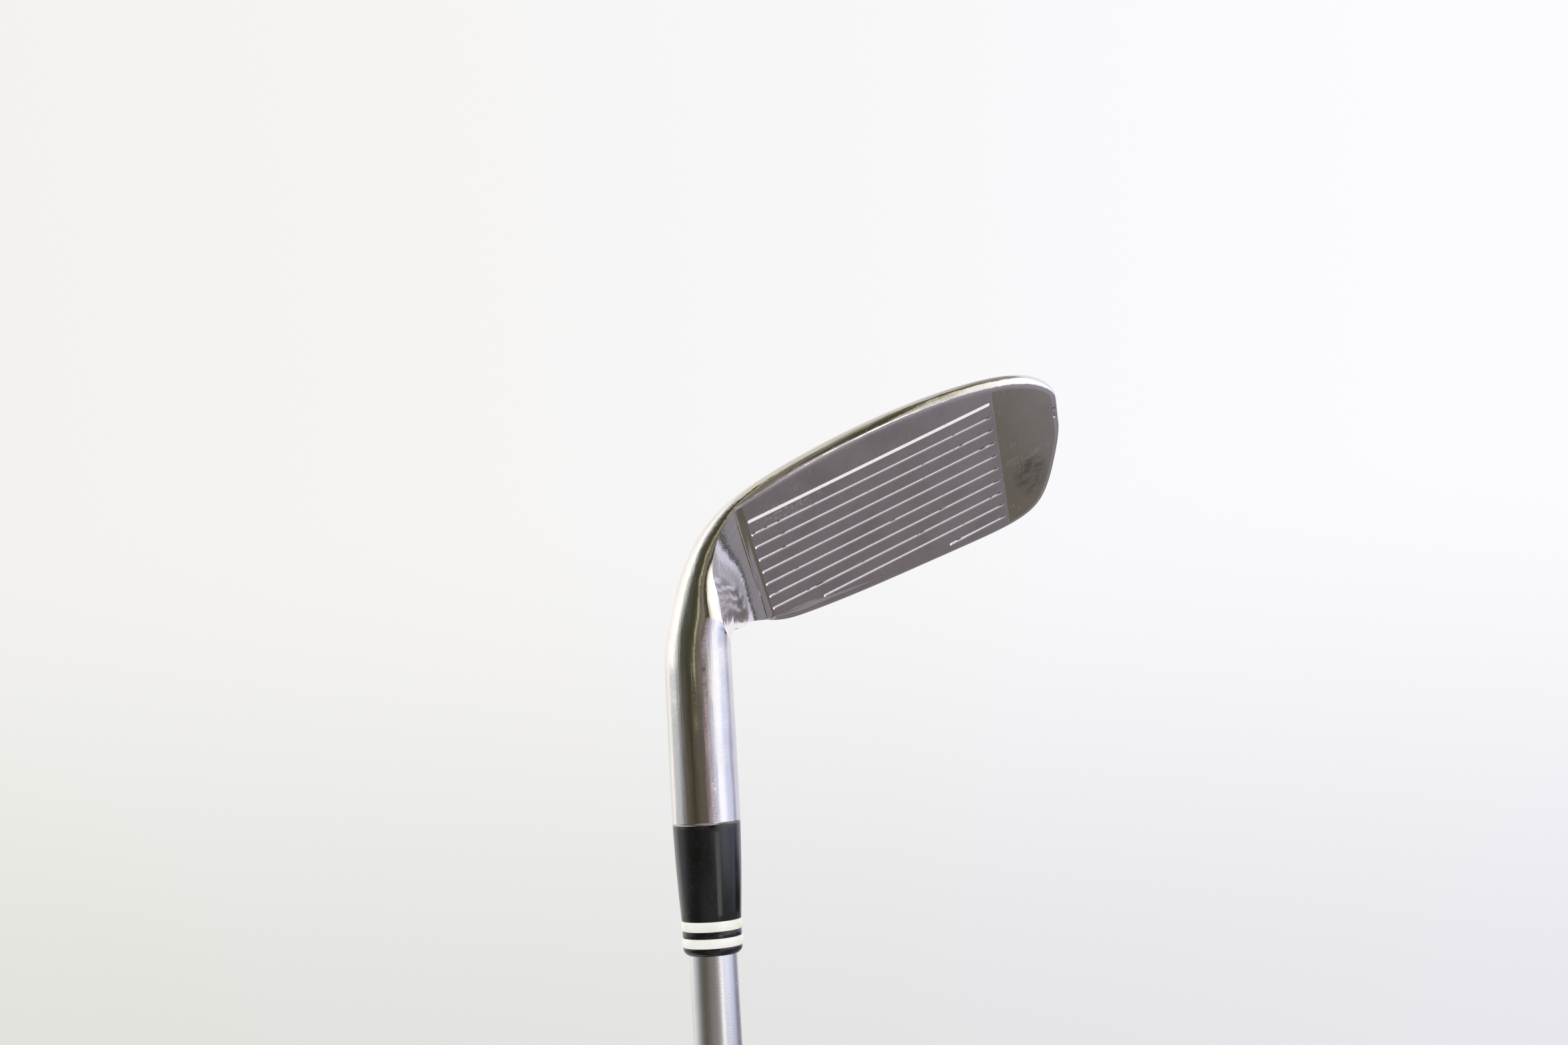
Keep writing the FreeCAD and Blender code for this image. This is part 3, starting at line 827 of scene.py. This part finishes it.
def face_steel():
    """Flat face: blasted satin between the ends of the score lines, polished outside them."""
    finish = bpy.context.scene.club_steel
    sizes = bpy.context.scene.club_head_sizes
    material, recipe, sockets, coords = new_material("Striking face steel", Metallic=1.0)
    on_face, place = face_coordinates(recipe, coords)
    fuzz = recipe.times(recipe.minus(recipe.noise(coords, 900.0), 0.5), 0.0006)
    s = recipe.plus(place["X"], fuzz)
    heel = recipe.ramp(s, -0.0008, -0.0004)
    toe = recipe.ramp(s, sizes.score_length + 0.0008, sizes.score_length + 0.0012, 1.0, 0.0)
    satin = recipe.times(heel, toe)
    grain = grain_height(recipe, coords, 5200.0)
    marks = scratch_mask(recipe, on_face, 300.0, width=0.008, amount=1.0)
    brushing = recipe.noise(recipe.stretched(on_face, (0.02, 1.0, 1.0)), 5000.0, 2.0)
    haze = haze_mask(recipe, on_face, 90.0)
    polish = recipe.level(haze, finish.polish + 0.03, finish.polish + 0.10)
    rough = recipe.level(satin, polish, finish.satin)
    rough = recipe.plus(rough, recipe.times(marks, 0.08))
    recipe.feed(sockets["Roughness"], rough)
    bare = recipe.blend(haze, rgba(finish.colour), rgba(finish.colour, 0.88))
    cloud = recipe.noise(recipe.stretched(on_face, (0.5, 1.0, 1.0), (0, 0, 0.1)), 420.0, 4.0, 0.6)
    cloud = recipe.ramp(cloud, 0.42, 0.62)
    # Pale spot at the toe, broken up by the cloud: a painted highlight.
    toe_highlight = recipe.times(recipe.spot(place, *TOE_HIGHLIGHT), cloud)
    # Darker patch at the toe, partly clouded; it darkens the bare steel there.
    toe_dark_patch = recipe.times(recipe.spot(place, *TOE_DARK_PATCH), recipe.level(cloud, 0.25, 1.0))
    specks = recipe.ramp(recipe.noise(on_face, 1500.0, 3.0), 0.52, 0.66)
    heel_scuff = recipe.times(recipe.spot(place, *HEEL_SCUFF), specks)
    bare = recipe.blend(toe_dark_patch, bare, rgba(finish.colour, 0.52))
    blasted = recipe.tones(haze, BLASTED_TONES)
    pale = recipe.most(recipe.times(toe_highlight, 0.55), recipe.times(heel_scuff, 0.8))
    tone = recipe.blend(pale, recipe.blend(satin, bare, blasted), rgba(SCUFF_AND_HIGHLIGHT_TONE))
    recipe.feed(sockets["Base Color"], tone)
    height = recipe.plus(recipe.times(satin, grain), recipe.times(brushing, 0.25))
    height = recipe.minus(height, recipe.times(marks, 0.7))
    recipe.feed(sockets["Normal"], bump(recipe, height, 0.000012))
    return material


def groove_steel():
    """Cut walls of the score lines in a pale lilac tone that is a painted reflection, with dirt on
    the floor and at their toe ends.
    """
    sizes = bpy.context.scene.club_head_sizes
    material, recipe, sockets, coords = new_material("Score line steel", Metallic=1.0)
    place = face_coordinates(recipe, coords)[1]
    deep = recipe.ramp(place["Z"], 0.00030, 0.00039)
    cloud = recipe.ramp(recipe.noise(coords, 420.0, 3.0), 0.60, 0.68)
    toe_end = recipe.ramp(place["X"], sizes.score_length - 0.0012, sizes.score_length - 0.0004)
    dirt = recipe.times(deep, recipe.most(cloud, toe_end))
    recipe.feed(sockets["Base Color"], recipe.tones(dirt, GROOVE_SHEEN_AND_DIRT_TONES))
    recipe.feed(sockets["Metallic"], recipe.level(dirt, 1.0, 0.1))
    recipe.feed(sockets["Roughness"], recipe.level(dirt, 0.30, 0.8))
    recipe.feed(sockets["Normal"], bump(recipe, recipe.noise(coords, 6000.0), 0.00001))
    return material


def cavity_steel():
    """Blasted pocket in the back."""
    material, recipe, sockets, coords = new_material("Blasted cavity steel", Metallic=1.0)
    grain = grain_height(recipe, coords, 4200.0)
    haze = haze_mask(recipe, coords, 70.0)
    recipe.feed(sockets["Base Color"], recipe.tones(haze, CAVITY_TONES))
    recipe.feed(sockets["Roughness"], recipe.level(haze, 0.38, 0.5))
    recipe.feed(sockets["Normal"], bump(recipe, grain, 0.00002))
    return material


def gloss_plastic(name, colour, worn, roughness):
    """Glossy plastic with a few fine scratches and a little uneven gloss."""
    material, recipe, sockets, coords = new_material(name)
    marks = scratch_mask(recipe, coords, 700.0, width=0.006, amount=0.12)
    haze = haze_mask(recipe, coords, 160.0)
    tone = recipe.tones(haze, (colour, worn))
    recipe.feed(sockets["Base Color"], recipe.blend(marks, tone, rgba(PLASTIC_SCRATCH)))
    rough = recipe.level(haze, roughness, roughness + 0.07)
    recipe.feed(sockets["Roughness"], recipe.plus(rough, recipe.times(marks, 0.3)))
    height = recipe.minus(recipe.noise(coords, 120.0), marks)
    recipe.feed(sockets["Normal"], bump(recipe, height, 0.00001))
    return material


def satin_shaft():
    """Plated shaft: satin, with faint lines round it."""
    finish = bpy.context.scene.club_steel
    material, recipe, sockets, coords = new_material("Satin shaft plating", Metallic=1.0)
    lines = recipe.noise(recipe.stretched(coords, (0.3, 0.3, 1.0)), 6000.0, 2.0)
    haze = haze_mask(recipe, coords, 60.0)
    marks = scratch_mask(recipe, coords, 350.0, width=0.008, amount=0.8)
    recipe.feed(sockets["Base Color"], recipe.blend(haze, rgba(finish.shaft_colour),
                                                    rgba(finish.shaft_colour, 0.92)))
    rough = recipe.level(lines, finish.shaft_roughness - 0.05, finish.shaft_roughness + 0.05)
    recipe.feed(sockets["Roughness"], recipe.plus(rough, recipe.times(marks, 0.2)))
    recipe.feed(sockets["Normal"], bump(recipe, recipe.minus(lines, marks), 0.000008))
    return material


def score_paint():
    """White enamel with specks of dirt."""
    finish = bpy.context.scene.club_plastic
    material, recipe, sockets, coords = new_material("White score paint")
    dirt = recipe.ramp(recipe.noise(coords, 700.0, 4.0), 0.62, 0.80)
    recipe.feed(sockets["Base Color"], recipe.tones(dirt, (finish.paint, WORN_PAINT)))
    recipe.feed(sockets["Roughness"], recipe.level(dirt, 0.35, 0.6))
    recipe.feed(sockets["Normal"], bump(recipe, recipe.noise(coords, 2500.0), 0.00003))
    return material


def plain_finish(name, colour, roughness, size, metallic):
    """Hidden pieces: an even tone with a small grain."""
    material, recipe, sockets, coords = new_material(name, Metallic=metallic)
    haze = haze_mask(recipe, coords, 120.0)
    grain = grain_height(recipe, coords, size)
    recipe.feed(sockets["Base Color"], recipe.blend(haze, rgba(colour), rgba(colour, 0.8)))
    recipe.feed(sockets["Roughness"], recipe.level(haze, roughness, roughness + 0.12))
    recipe.feed(sockets["Normal"], bump(recipe, grain, 0.00003))
    return material


def badge_metal():
    """Dark brushed plate."""
    material, recipe, sockets, coords = new_material("Brushed badge plate", Metallic=1.0)
    on_face = face_coordinates(recipe, coords)[0]
    brushing = recipe.noise(recipe.stretched(on_face, (0.015, 1.0, 1.0)), 4000.0, 2.0)
    recipe.feed(sockets["Base Color"], recipe.tones(brushing, BADGE_TONES))
    recipe.feed(sockets["Roughness"], recipe.level(brushing, 0.28, 0.42))
    recipe.feed(sockets["Normal"], bump(recipe, brushing, 0.00002))
    return material


def grip_rubber():
    """Moulded rubber with rows of small dimples and a dusty sheen."""
    finish = bpy.context.scene.club_plastic
    material, recipe, sockets, coords = new_material("Grip rubber")
    parts = recipe.add("SeparateXYZ", {"Vector": coords}).outputs
    turn = recipe.math("ARCTAN2", parts["Y"], parts["X"])
    around = recipe.times(turn, DIMPLES_ROUND / (2 * math.pi))
    up = recipe.times(parts["Z"], DIMPLES_PER_METRE)
    rows = recipe.minus(recipe.math("FRACT", recipe.plus(around, up)), 0.5)
    cross = recipe.minus(recipe.math("FRACT", recipe.minus(around, up)), 0.5)
    lozenge = recipe.plus(recipe.math("ABSOLUTE", rows), recipe.math("ABSOLUTE", cross))
    tread = recipe.ramp(lozenge, 0.28, 0.42)
    low, high = DIMPLED
    zone = recipe.window(parts["Z"], low, low + DIMPLE_FADE, high - DIMPLE_FADE, high)
    grain = grain_height(recipe, coords, 2600.0)
    haze = haze_mask(recipe, coords, 45.0)
    recipe.feed(sockets["Base Color"], recipe.tones(haze, (finish.rubber, WORN_RUBBER)))
    recipe.feed(sockets["Roughness"], recipe.level(haze, 0.55, 0.72))
    height = recipe.plus(recipe.times(tread, zone), recipe.times(grain, 0.06))
    recipe.feed(sockets["Normal"], bump(recipe, height, 0.0004))
    return material


# ---- Turned pieces -----------------------------------------------------------------------------
def turned_piece(name, outline, segments, break_width):
    """Hollow piece about the shaft axis: a circle extruded and resized along its outline."""
    deselect()
    radius, height = outline[0]
    bpy.ops.mesh.primitive_circle_add(vertices=segments, radius=radius, location=(0, 0, height))
    piece = settle(bpy.context.object, name)
    bpy.ops.object.mode_set(mode="EDIT")
    bpy.ops.mesh.select_all(action="SELECT")
    for (radius_a, a), (radius_b, b) in zip(outline, outline[1:]):
        bpy.ops.mesh.extrude_edges_move(TRANSFORM_OT_translate={"value": (0, 0, b - a)})
        k = radius_b / radius_a
        bpy.ops.transform.resize(value=(k, k, 1), center_override=(0, 0, b))
    bpy.ops.mesh.select_all(action="DESELECT")
    bpy.ops.mesh.select_non_manifold()
    bpy.ops.mesh.bridge_edge_loops()
    bpy.ops.object.mode_set(mode="OBJECT")
    face_outward(piece)
    if break_width:
        apply_modifier(piece, "BEVEL", width=break_width, segments=3, limit_method="ANGLE",
                       angle_limit=math.radians(35))
    smooth(piece, 30)
    return piece


def crowned(radius_low, low, radius_high, high, crown, steps):
    """Outline points from low to high that stand out by crown in the middle."""
    points = []
    for k in range(steps + 1):
        share = k / steps
        radius = radius_low + (radius_high - radius_low) * share + crown * 4 * share * (1 - share)
        points.append((radius, low + (high - low) * share))
    return points


# ---- Operators ---------------------------------------------------------------------------------
class CLUB_OT_head(bpy.types.Operator):
    """Build the steel head: subdivided skin, milled face, heel hollow, score lines and cavity"""
    bl_idname = "club.head"
    bl_label = "Head"

    def execute(self, context):
        face = face_steel()
        head = head_skin()
        skin = polished_steel()
        dress(head, skin)
        cut(head, face_cutter(), face)
        soften_border(head, face, context.scene.club_head_sizes.edge_break)
        # The heel hollow's steel is brightened 1.2 times: painted reflected light.
        cut(head, hollow_cutter(), polished_steel("Heel hollow steel, painted brighter", 0.07, 1.2))
        cut(head, cavity_cutter(), cavity_steel())
        bored = plain_finish("Bore steel", (0.35, 0.34, 0.33), 0.45, 3000.0, 1.0)
        cut(head, bore_cutter(), bored)
        cut(head, join(score_cutter()), groove_steel())
        sharpen_between_materials(head, skin, face)
        settle(head, "iron_head")
        hand_over(head, "head_steel", "club_head")
        return {"FINISHED"}


class CLUB_OT_score_paint(bpy.types.Operator):
    """Paint the lowest score line"""
    bl_idname = "club.score_paint"
    bl_label = "Score line paint"

    def execute(self, context):
        dress(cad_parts["score_line_paint"], score_paint())
        return {"FINISHED"}


class CLUB_OT_ferrule(bpy.types.Operator):
    """Turn the ferrule's body, rings and rounded end"""
    bl_idname = "club.ferrule"
    bl_label = "Ferrule"

    def execute(self, context):
        finish = context.scene.club_plastic
        black = gloss_plastic("Ferrule black", finish.black, WORN_BLACK, 0.10)
        white = gloss_plastic("Ferrule ring white", finish.white, WORN_WHITE, 0.25)
        hosel_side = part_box("ferrule_body")[1].x
        black_ring = RING_RADIUS - SPACER_STEP
        for node, radius_low, radius_high, crown, steps, material, slot in (
                ("body", RING_RADIUS, hosel_side, RING_CROWN, 12, black, "ferrule_black"),
                ("upper_ring", RING_RADIUS, RING_RADIUS, RING_CROWN, 8, white, "ferrule_white"),
                ("spacer_ring", black_ring, black_ring, SPACER_CROWN, 8, black, "ferrule_black"),
                ("lower_ring", RING_RADIUS, RING_RADIUS, RING_CROWN, 8, white, "ferrule_white"),
                ("end_ring", END_RADIUS, black_ring, END_CROWN, 8, black, "ferrule_black")):
            node = "ferrule_" + node
            low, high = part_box(node)[0].z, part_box(node)[1].z
            outline = crowned(radius_low, low, radius_high, high, crown, steps)
            outline += [(TIP_RADIUS, high), (TIP_RADIUS, low)]
            piece = turned_piece(node + "_piece", outline, 160, FERRULE_EDGE)
            dress(piece, material)
            hand_over(piece, slot, node)
        return {"FINISHED"}


class CLUB_OT_shaft(bpy.types.Operator):
    """Turn the tapered shaft"""
    bl_idname = "club.shaft"
    bl_label = "Shaft"

    def execute(self, context):
        low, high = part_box("shaft")
        butt = high.x
        tip_inside = TIP_RADIUS - TIP_WALL
        taper_top = HOSEL_END - TIP_LENGTH
        outline = [(butt, low.z), (TIP_RADIUS, taper_top), (TIP_RADIUS, high.z),
                   (tip_inside, high.z), (tip_inside, taper_top), (butt - BUTT_WALL, low.z)]
        piece = turned_piece("tapered_shaft", outline, 128, 0.0)
        dress(piece, satin_shaft())
        hand_over(piece, "shaft_steel", "shaft")
        return {"FINISHED"}


class CLUB_OT_grip(bpy.types.Operator):
    """Turn the grip sleeve and its vented cap"""
    bl_idname = "club.grip"
    bl_label = "Grip"

    def execute(self, context):
        rubber = grip_rubber()
        low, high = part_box("grip_sleeve")
        flare = high.x
        # Radius and height of each corner: the butt's flare, the taper and the mouth's bead.
        outline = [
            (SLEEVE_BUTT_BORE, low.z), (flare, low.z), (flare, 0.007), (flare - 0.0008, 0.014),
            (0.01265, 0.026), (0.0122, 0.034), (0.0122, 0.0345), (0.0100, 0.150),
            (0.0080, high.z - 0.009), (0.0080, high.z - 0.0085), (0.00835, high.z - 0.006),
            (0.00835, high.z - 0.002), (0.0078, high.z), (0.00705, high.z),
            (0.00732, high.z - 0.005)]
        sleeve = turned_piece("grip_sleeve_piece", outline, 160, SLEEVE_EDGE)
        dress(sleeve, rubber)
        hand_over(sleeve, "grip_rubber", "grip_sleeve")
        cap_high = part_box("grip_cap")[1].z
        # The vent, a shallow ring groove in the end face, and the rounded rim.
        cap_outline = [
            (VENT_RADIUS, cap_high), (VENT_RADIUS, 0.0), (0.0060, 0.0), (0.0064, 0.0004),
            (0.0072, 0.0004), (0.0076, 0.0), (flare - 0.0018, 0.0), (flare - 0.0006, 0.0006),
            (flare, 0.0018), (flare, cap_high)]
        cap = turned_piece("grip_cap_piece", cap_outline, 160, 0.0)
        dress(cap, rubber)
        hand_over(cap, "grip_rubber", "grip_cap")
        return {"FINISHED"}


class CLUB_OT_inner_pieces(bpy.types.Operator):
    """Finish the badge, its adhesive, the epoxy, the tip weight and the grip tape"""
    bl_idname = "club.inner_pieces"
    bl_label = "Badge and inner pieces"

    def execute(self, context):
        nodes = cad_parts
        dress(nodes["cavity_badge"], badge_metal())
        for node, name, colour, roughness, size, metallic in (
                ("badge_adhesive", "Foam adhesive", (0.62, 0.60, 0.52), 0.8, 1500.0, 0.0),
                ("hosel_epoxy", "Cured epoxy", (0.42, 0.37, 0.28), 0.3, 800.0, 0.0),
                ("tip_weight", "Turned brass", (0.66, 0.50, 0.24), 0.3, 2500.0, 1.0),
                ("grip_tape", "Paper tape", (0.70, 0.64, 0.50), 0.8, 2000.0, 0.0)):
            dress(nodes[node], plain_finish(name, colour, roughness, size, metallic))
        return {"FINISHED"}


def panels(recipe, azimuth, stops):
    """Ring of soft panels round the club: colours at azimuths, in degrees from the camera."""
    turn = recipe.ramp_line(azimuth, -180.0, 180.0)
    node = recipe.add("ValToRGB", {"Fac": turn})
    elements = node.color_ramp.elements
    for element, (degrees, colour) in zip(elements, (stops[0], stops[-1])):
        element.position = (degrees + 180.0) / 360.0
        element.color = rgba(colour)
    for degrees, colour in stops[1:-1]:
        elements.new((degrees + 180.0) / 360.0).color = rgba(colour)
    return node.outputs["Color"]


# Surroundings seen in the steel, as rings of panels: azimuth in degrees (0 is towards the
# camera, positive to its right) and colour. A dim room lies left of the camera, windows behind.
GROUND_RING = (
    (-180, (0.75, 0.72, 0.68)), (-110, (0.85, 0.82, 0.78)), (-85, (0.22, 0.20, 0.17)),
    (-50, (0.10, 0.09, 0.07)), (-22, (0.34, 0.31, 0.29)), (10, (0.46, 0.42, 0.44)),
    (28, (0.42, 0.42, 0.45)), (34, (0.80, 0.79, 0.80)), (42, (0.50, 0.49, 0.50)),
    (60, (0.42, 0.41, 0.47)), (95, (0.40, 0.39, 0.44)), (118, (0.30, 0.29, 0.32)),
    (150, (0.34, 0.32, 0.36)), (180, (0.62, 0.60, 0.60)))
HORIZON_RING = (
    (-180, (0.85, 0.86, 0.86)), (-150, (0.98, 1.00, 0.95)), (-125, (1.42, 1.43, 1.36)),
    (-108, (0.85, 0.87, 0.86)), (-88, (0.70, 0.76, 0.82)), (-75, (0.38, 0.39, 0.39)),
    (-62, (0.18, 0.17, 0.15)), (-45, (0.13, 0.12, 0.09)), (-32, (0.075, 0.066, 0.042)),
    (-14, (0.15, 0.135, 0.10)), (6, (0.17, 0.15, 0.14)), (14, (0.34, 0.28, 0.27)),
    (20, (0.62, 0.50, 0.52)), (30, (0.62, 0.58, 0.66)), (44, (0.92, 0.95, 1.18)),
    (56, (1.55, 1.62, 1.75)), (72, (1.50, 1.56, 1.72)), (88, (0.98, 1.08, 1.48)),
    (104, (0.95, 1.00, 1.26)), (116, (0.56, 0.58, 0.80)), (130, (0.98, 1.00, 1.16)),
    (180, (0.86, 0.88, 0.94)))
RAISED_RING = (
    (-180, (1.05, 1.04, 1.02)), (-140, (1.30, 1.28, 1.22)), (-115, (1.60, 1.60, 1.54)),
    (-92, (1.75, 1.75, 1.72)), (-76, (0.62, 0.66, 0.62)), (-60, (0.13, 0.14, 0.12)),
    (-34, (0.085, 0.080, 0.050)), (-20, (0.12, 0.115, 0.070)), (-13, (0.62, 0.60, 0.40)),
    (-6, (0.20, 0.19, 0.13)), (8, (0.30, 0.29, 0.25)), (16, (0.12, 0.105, 0.065)),
    (28, (0.10, 0.090, 0.055)), (34, (0.80, 0.76, 0.58)), (44, (1.50, 1.48, 1.36)),
    (70, (1.90, 1.90, 1.88)), (94, (1.85, 1.88, 1.95)), (112, (1.15, 1.15, 1.35)),
    (135, (1.25, 1.25, 1.36)), (180, (1.05, 1.04, 1.02)))
HIGH_RING = (
    (-180, (0.98, 0.97, 0.93)), (-100, (1.02, 1.00, 0.92)), (-30, (0.96, 0.94, 0.86)),
    (-8, (0.60, 0.58, 0.48)), (12, (0.25, 0.23, 0.17)), (32, (0.16, 0.145, 0.095)),
    (55, (0.17, 0.155, 0.105)), (75, (0.38, 0.36, 0.32)), (105, (0.44, 0.42, 0.42)),
    (140, (0.46, 0.44, 0.45)), (180, (0.98, 0.97, 0.93)))
ZENITH = (0.92, 0.89, 0.83)
# Elevations between which each ring takes over from the one below it.
RINGS = (((-13, -7), HORIZON_RING), ((-1, 7), RAISED_RING), ((48, 60), HIGH_RING))
ZENITH_START = (72, 84)
# Smaller things in the surroundings: azimuths and elevations between which each one fades in and
# out, and its colour. A lamp slit, a dark seat below and a dark edge behind the hollow.
PATCHES = (
    ((27, 31, 42, 48), (-20, -16, -6, -3), (1.90, 1.85, 1.75)),
    ((64, 78, 104, 116), (-76, -66, -46, -38), (0.19, 0.175, 0.14)),
    ((104, 112, 138, 150), (-12.5, -10.5, -8.0, -5.5), (0.09, 0.085, 0.08)))
SOFT_LIGHT = (1.25, 1.25, 1.27)      # even light on everything that is not shiny
# Backdrop behind the club: warm tones on its left and cool tones on its right, low then high.
BACKDROP_WARM = ((0.735, 0.740, 0.690), (0.895, 0.885, 0.860))
BACKDROP_COOL = ((0.805, 0.795, 0.850), (0.975, 0.965, 1.000))
BACKDROP_SPAN = (-14, 9)
BACKDROP_SIDE = 0.46


def studio_world():
    """Soft studio surroundings for the mirror-bright steel, and a pale backdrop."""
    settings = bpy.context.scene.club_studio
    world = bpy.data.worlds.new("Studio")
    bpy.context.scene.world = world
    world.use_nodes = True
    recipe = Recipe(world.node_tree)
    background = world.node_tree.nodes["Background"]
    direction = recipe.add("TexCoord").outputs["Generated"]
    turned = recipe.stretched(direction, (1, 1, 1), (0, 0, -settings.camera_turn[2]))
    axes = recipe.add("SeparateXYZ", {"Vector": turned}).outputs
    right, away, up = axes["X"], axes["Y"], axes["Z"]
    turn = recipe.math("ARCTAN2", right, recipe.times(away, -1.0))
    azimuth = recipe.times(turn, 180 / math.pi)
    elevation = recipe.times(recipe.math("ARCSINE", up), 180 / math.pi)

    colour = panels(recipe, azimuth, GROUND_RING)
    for span, ring in RINGS:
        colour = recipe.blend(recipe.ramp(elevation, *span), colour, panels(recipe, azimuth, ring))
    colour = recipe.blend(recipe.ramp(elevation, *ZENITH_START), colour, rgba(ZENITH))
    for sides, heights, tone in PATCHES:
        patch = recipe.times(recipe.window(azimuth, *sides), recipe.window(elevation, *heights))
        colour = recipe.blend(patch, colour, rgba(tone))

    rise = recipe.ramp(elevation, *BACKDROP_SPAN)
    side = recipe.ramp_line(right, -BACKDROP_SIDE, BACKDROP_SIDE)
    warm, cool = recipe.tones(rise, BACKDROP_WARM), recipe.tones(rise, BACKDROP_COOL)
    backdrop = recipe.blend(side, warm, cool)
    rays = recipe.add("LightPath").outputs
    colour = recipe.blend(rays["Is Diffuse Ray"], colour, rgba(SOFT_LIGHT))
    recipe.feed(background.inputs["Color"], recipe.blend(rays["Is Camera Ray"], colour, backdrop))


class CLUB_OT_stage(bpy.types.Operator):
    """Set up the pale floor, the soft light and the camera"""
    bl_idname = "club.stage"
    bl_label = "Stage"

    def execute(self, context):
        settings = context.scene.club_studio
        deselect()
        bpy.ops.mesh.primitive_circle_add(vertices=128, radius=settings.floor_radius,
                                          fill_type="NGON")
        floor = settle(bpy.context.object, "pale_floor")
        material, recipe, sockets, coords = new_material("Pale floor", Roughness=0.85)
        tone = recipe.noise(coords, 9.0, 3.0)
        recipe.feed(sockets["Base Color"], recipe.tones(tone, FLOOR_TONES))
        dress(floor, material)
        floor.visible_glossy = False
        studio_world()
        camera_data = bpy.data.cameras.new("Camera")
        camera_data.lens = settings.lens
        camera_data.sensor_width = 36
        camera_data.clip_start = 0.01
        camera = bpy.data.objects.new("Camera", camera_data)
        context.scene.collection.objects.link(camera)
        camera.location = settings.camera_place
        camera.rotation_euler = settings.camera_turn
        context.scene.camera = camera
        context.scene.view_settings.view_transform = "Standard"
        return {"FINISHED"}


BUILD_ORDER = (CLUB_OT_head, CLUB_OT_score_paint, CLUB_OT_ferrule, CLUB_OT_shaft, CLUB_OT_grip,
               CLUB_OT_inner_pieces, CLUB_OT_stage)


class CLUB_PT_panel(bpy.types.Panel):
    """Lists the club's settings and the steps that build it"""
    bl_idname = "CLUB_PT_panel"
    bl_label = "Golf club"
    bl_space_type = "VIEW_3D"
    bl_region_type = "UI"
    bl_category = "Golf club"

    def draw(self, context):
        column = self.layout.column()
        for group in SETTINGS:
            settings = getattr(context.scene, group)
            for name in settings.bl_rna.properties.keys():
                if name not in ("rna_type", "name"):
                    column.prop(settings, name)
        for operator in BUILD_ORDER:
            column.operator(operator.bl_idname)


SETTINGS = {
    "club_head_sizes": HeadSizes,
    "club_steel": SteelFinish,
    "club_plastic": PlasticFinish,
    "club_studio": StudioSettings,
}


def register():
    for cls in (*SETTINGS.values(), *BUILD_ORDER, CLUB_PT_panel):
        bpy.utils.register_class(cls)
    for name, cls in SETTINGS.items():
        setattr(bpy.types.Scene, name, PointerProperty(type=cls))


def unregister():
    for name in SETTINGS:
        delattr(bpy.types.Scene, name)
    for cls in (CLUB_PT_panel, *reversed(BUILD_ORDER), *reversed(SETTINGS.values())):
        bpy.utils.unregister_class(cls)


def main():
    register()
    bpy.ops.club.head()
    bpy.ops.club.score_paint()
    bpy.ops.club.ferrule()
    bpy.ops.club.shaft()
    bpy.ops.club.grip()
    bpy.ops.club.inner_pieces()
    bpy.ops.club.stage()


if __name__ == "__main__":
    main()
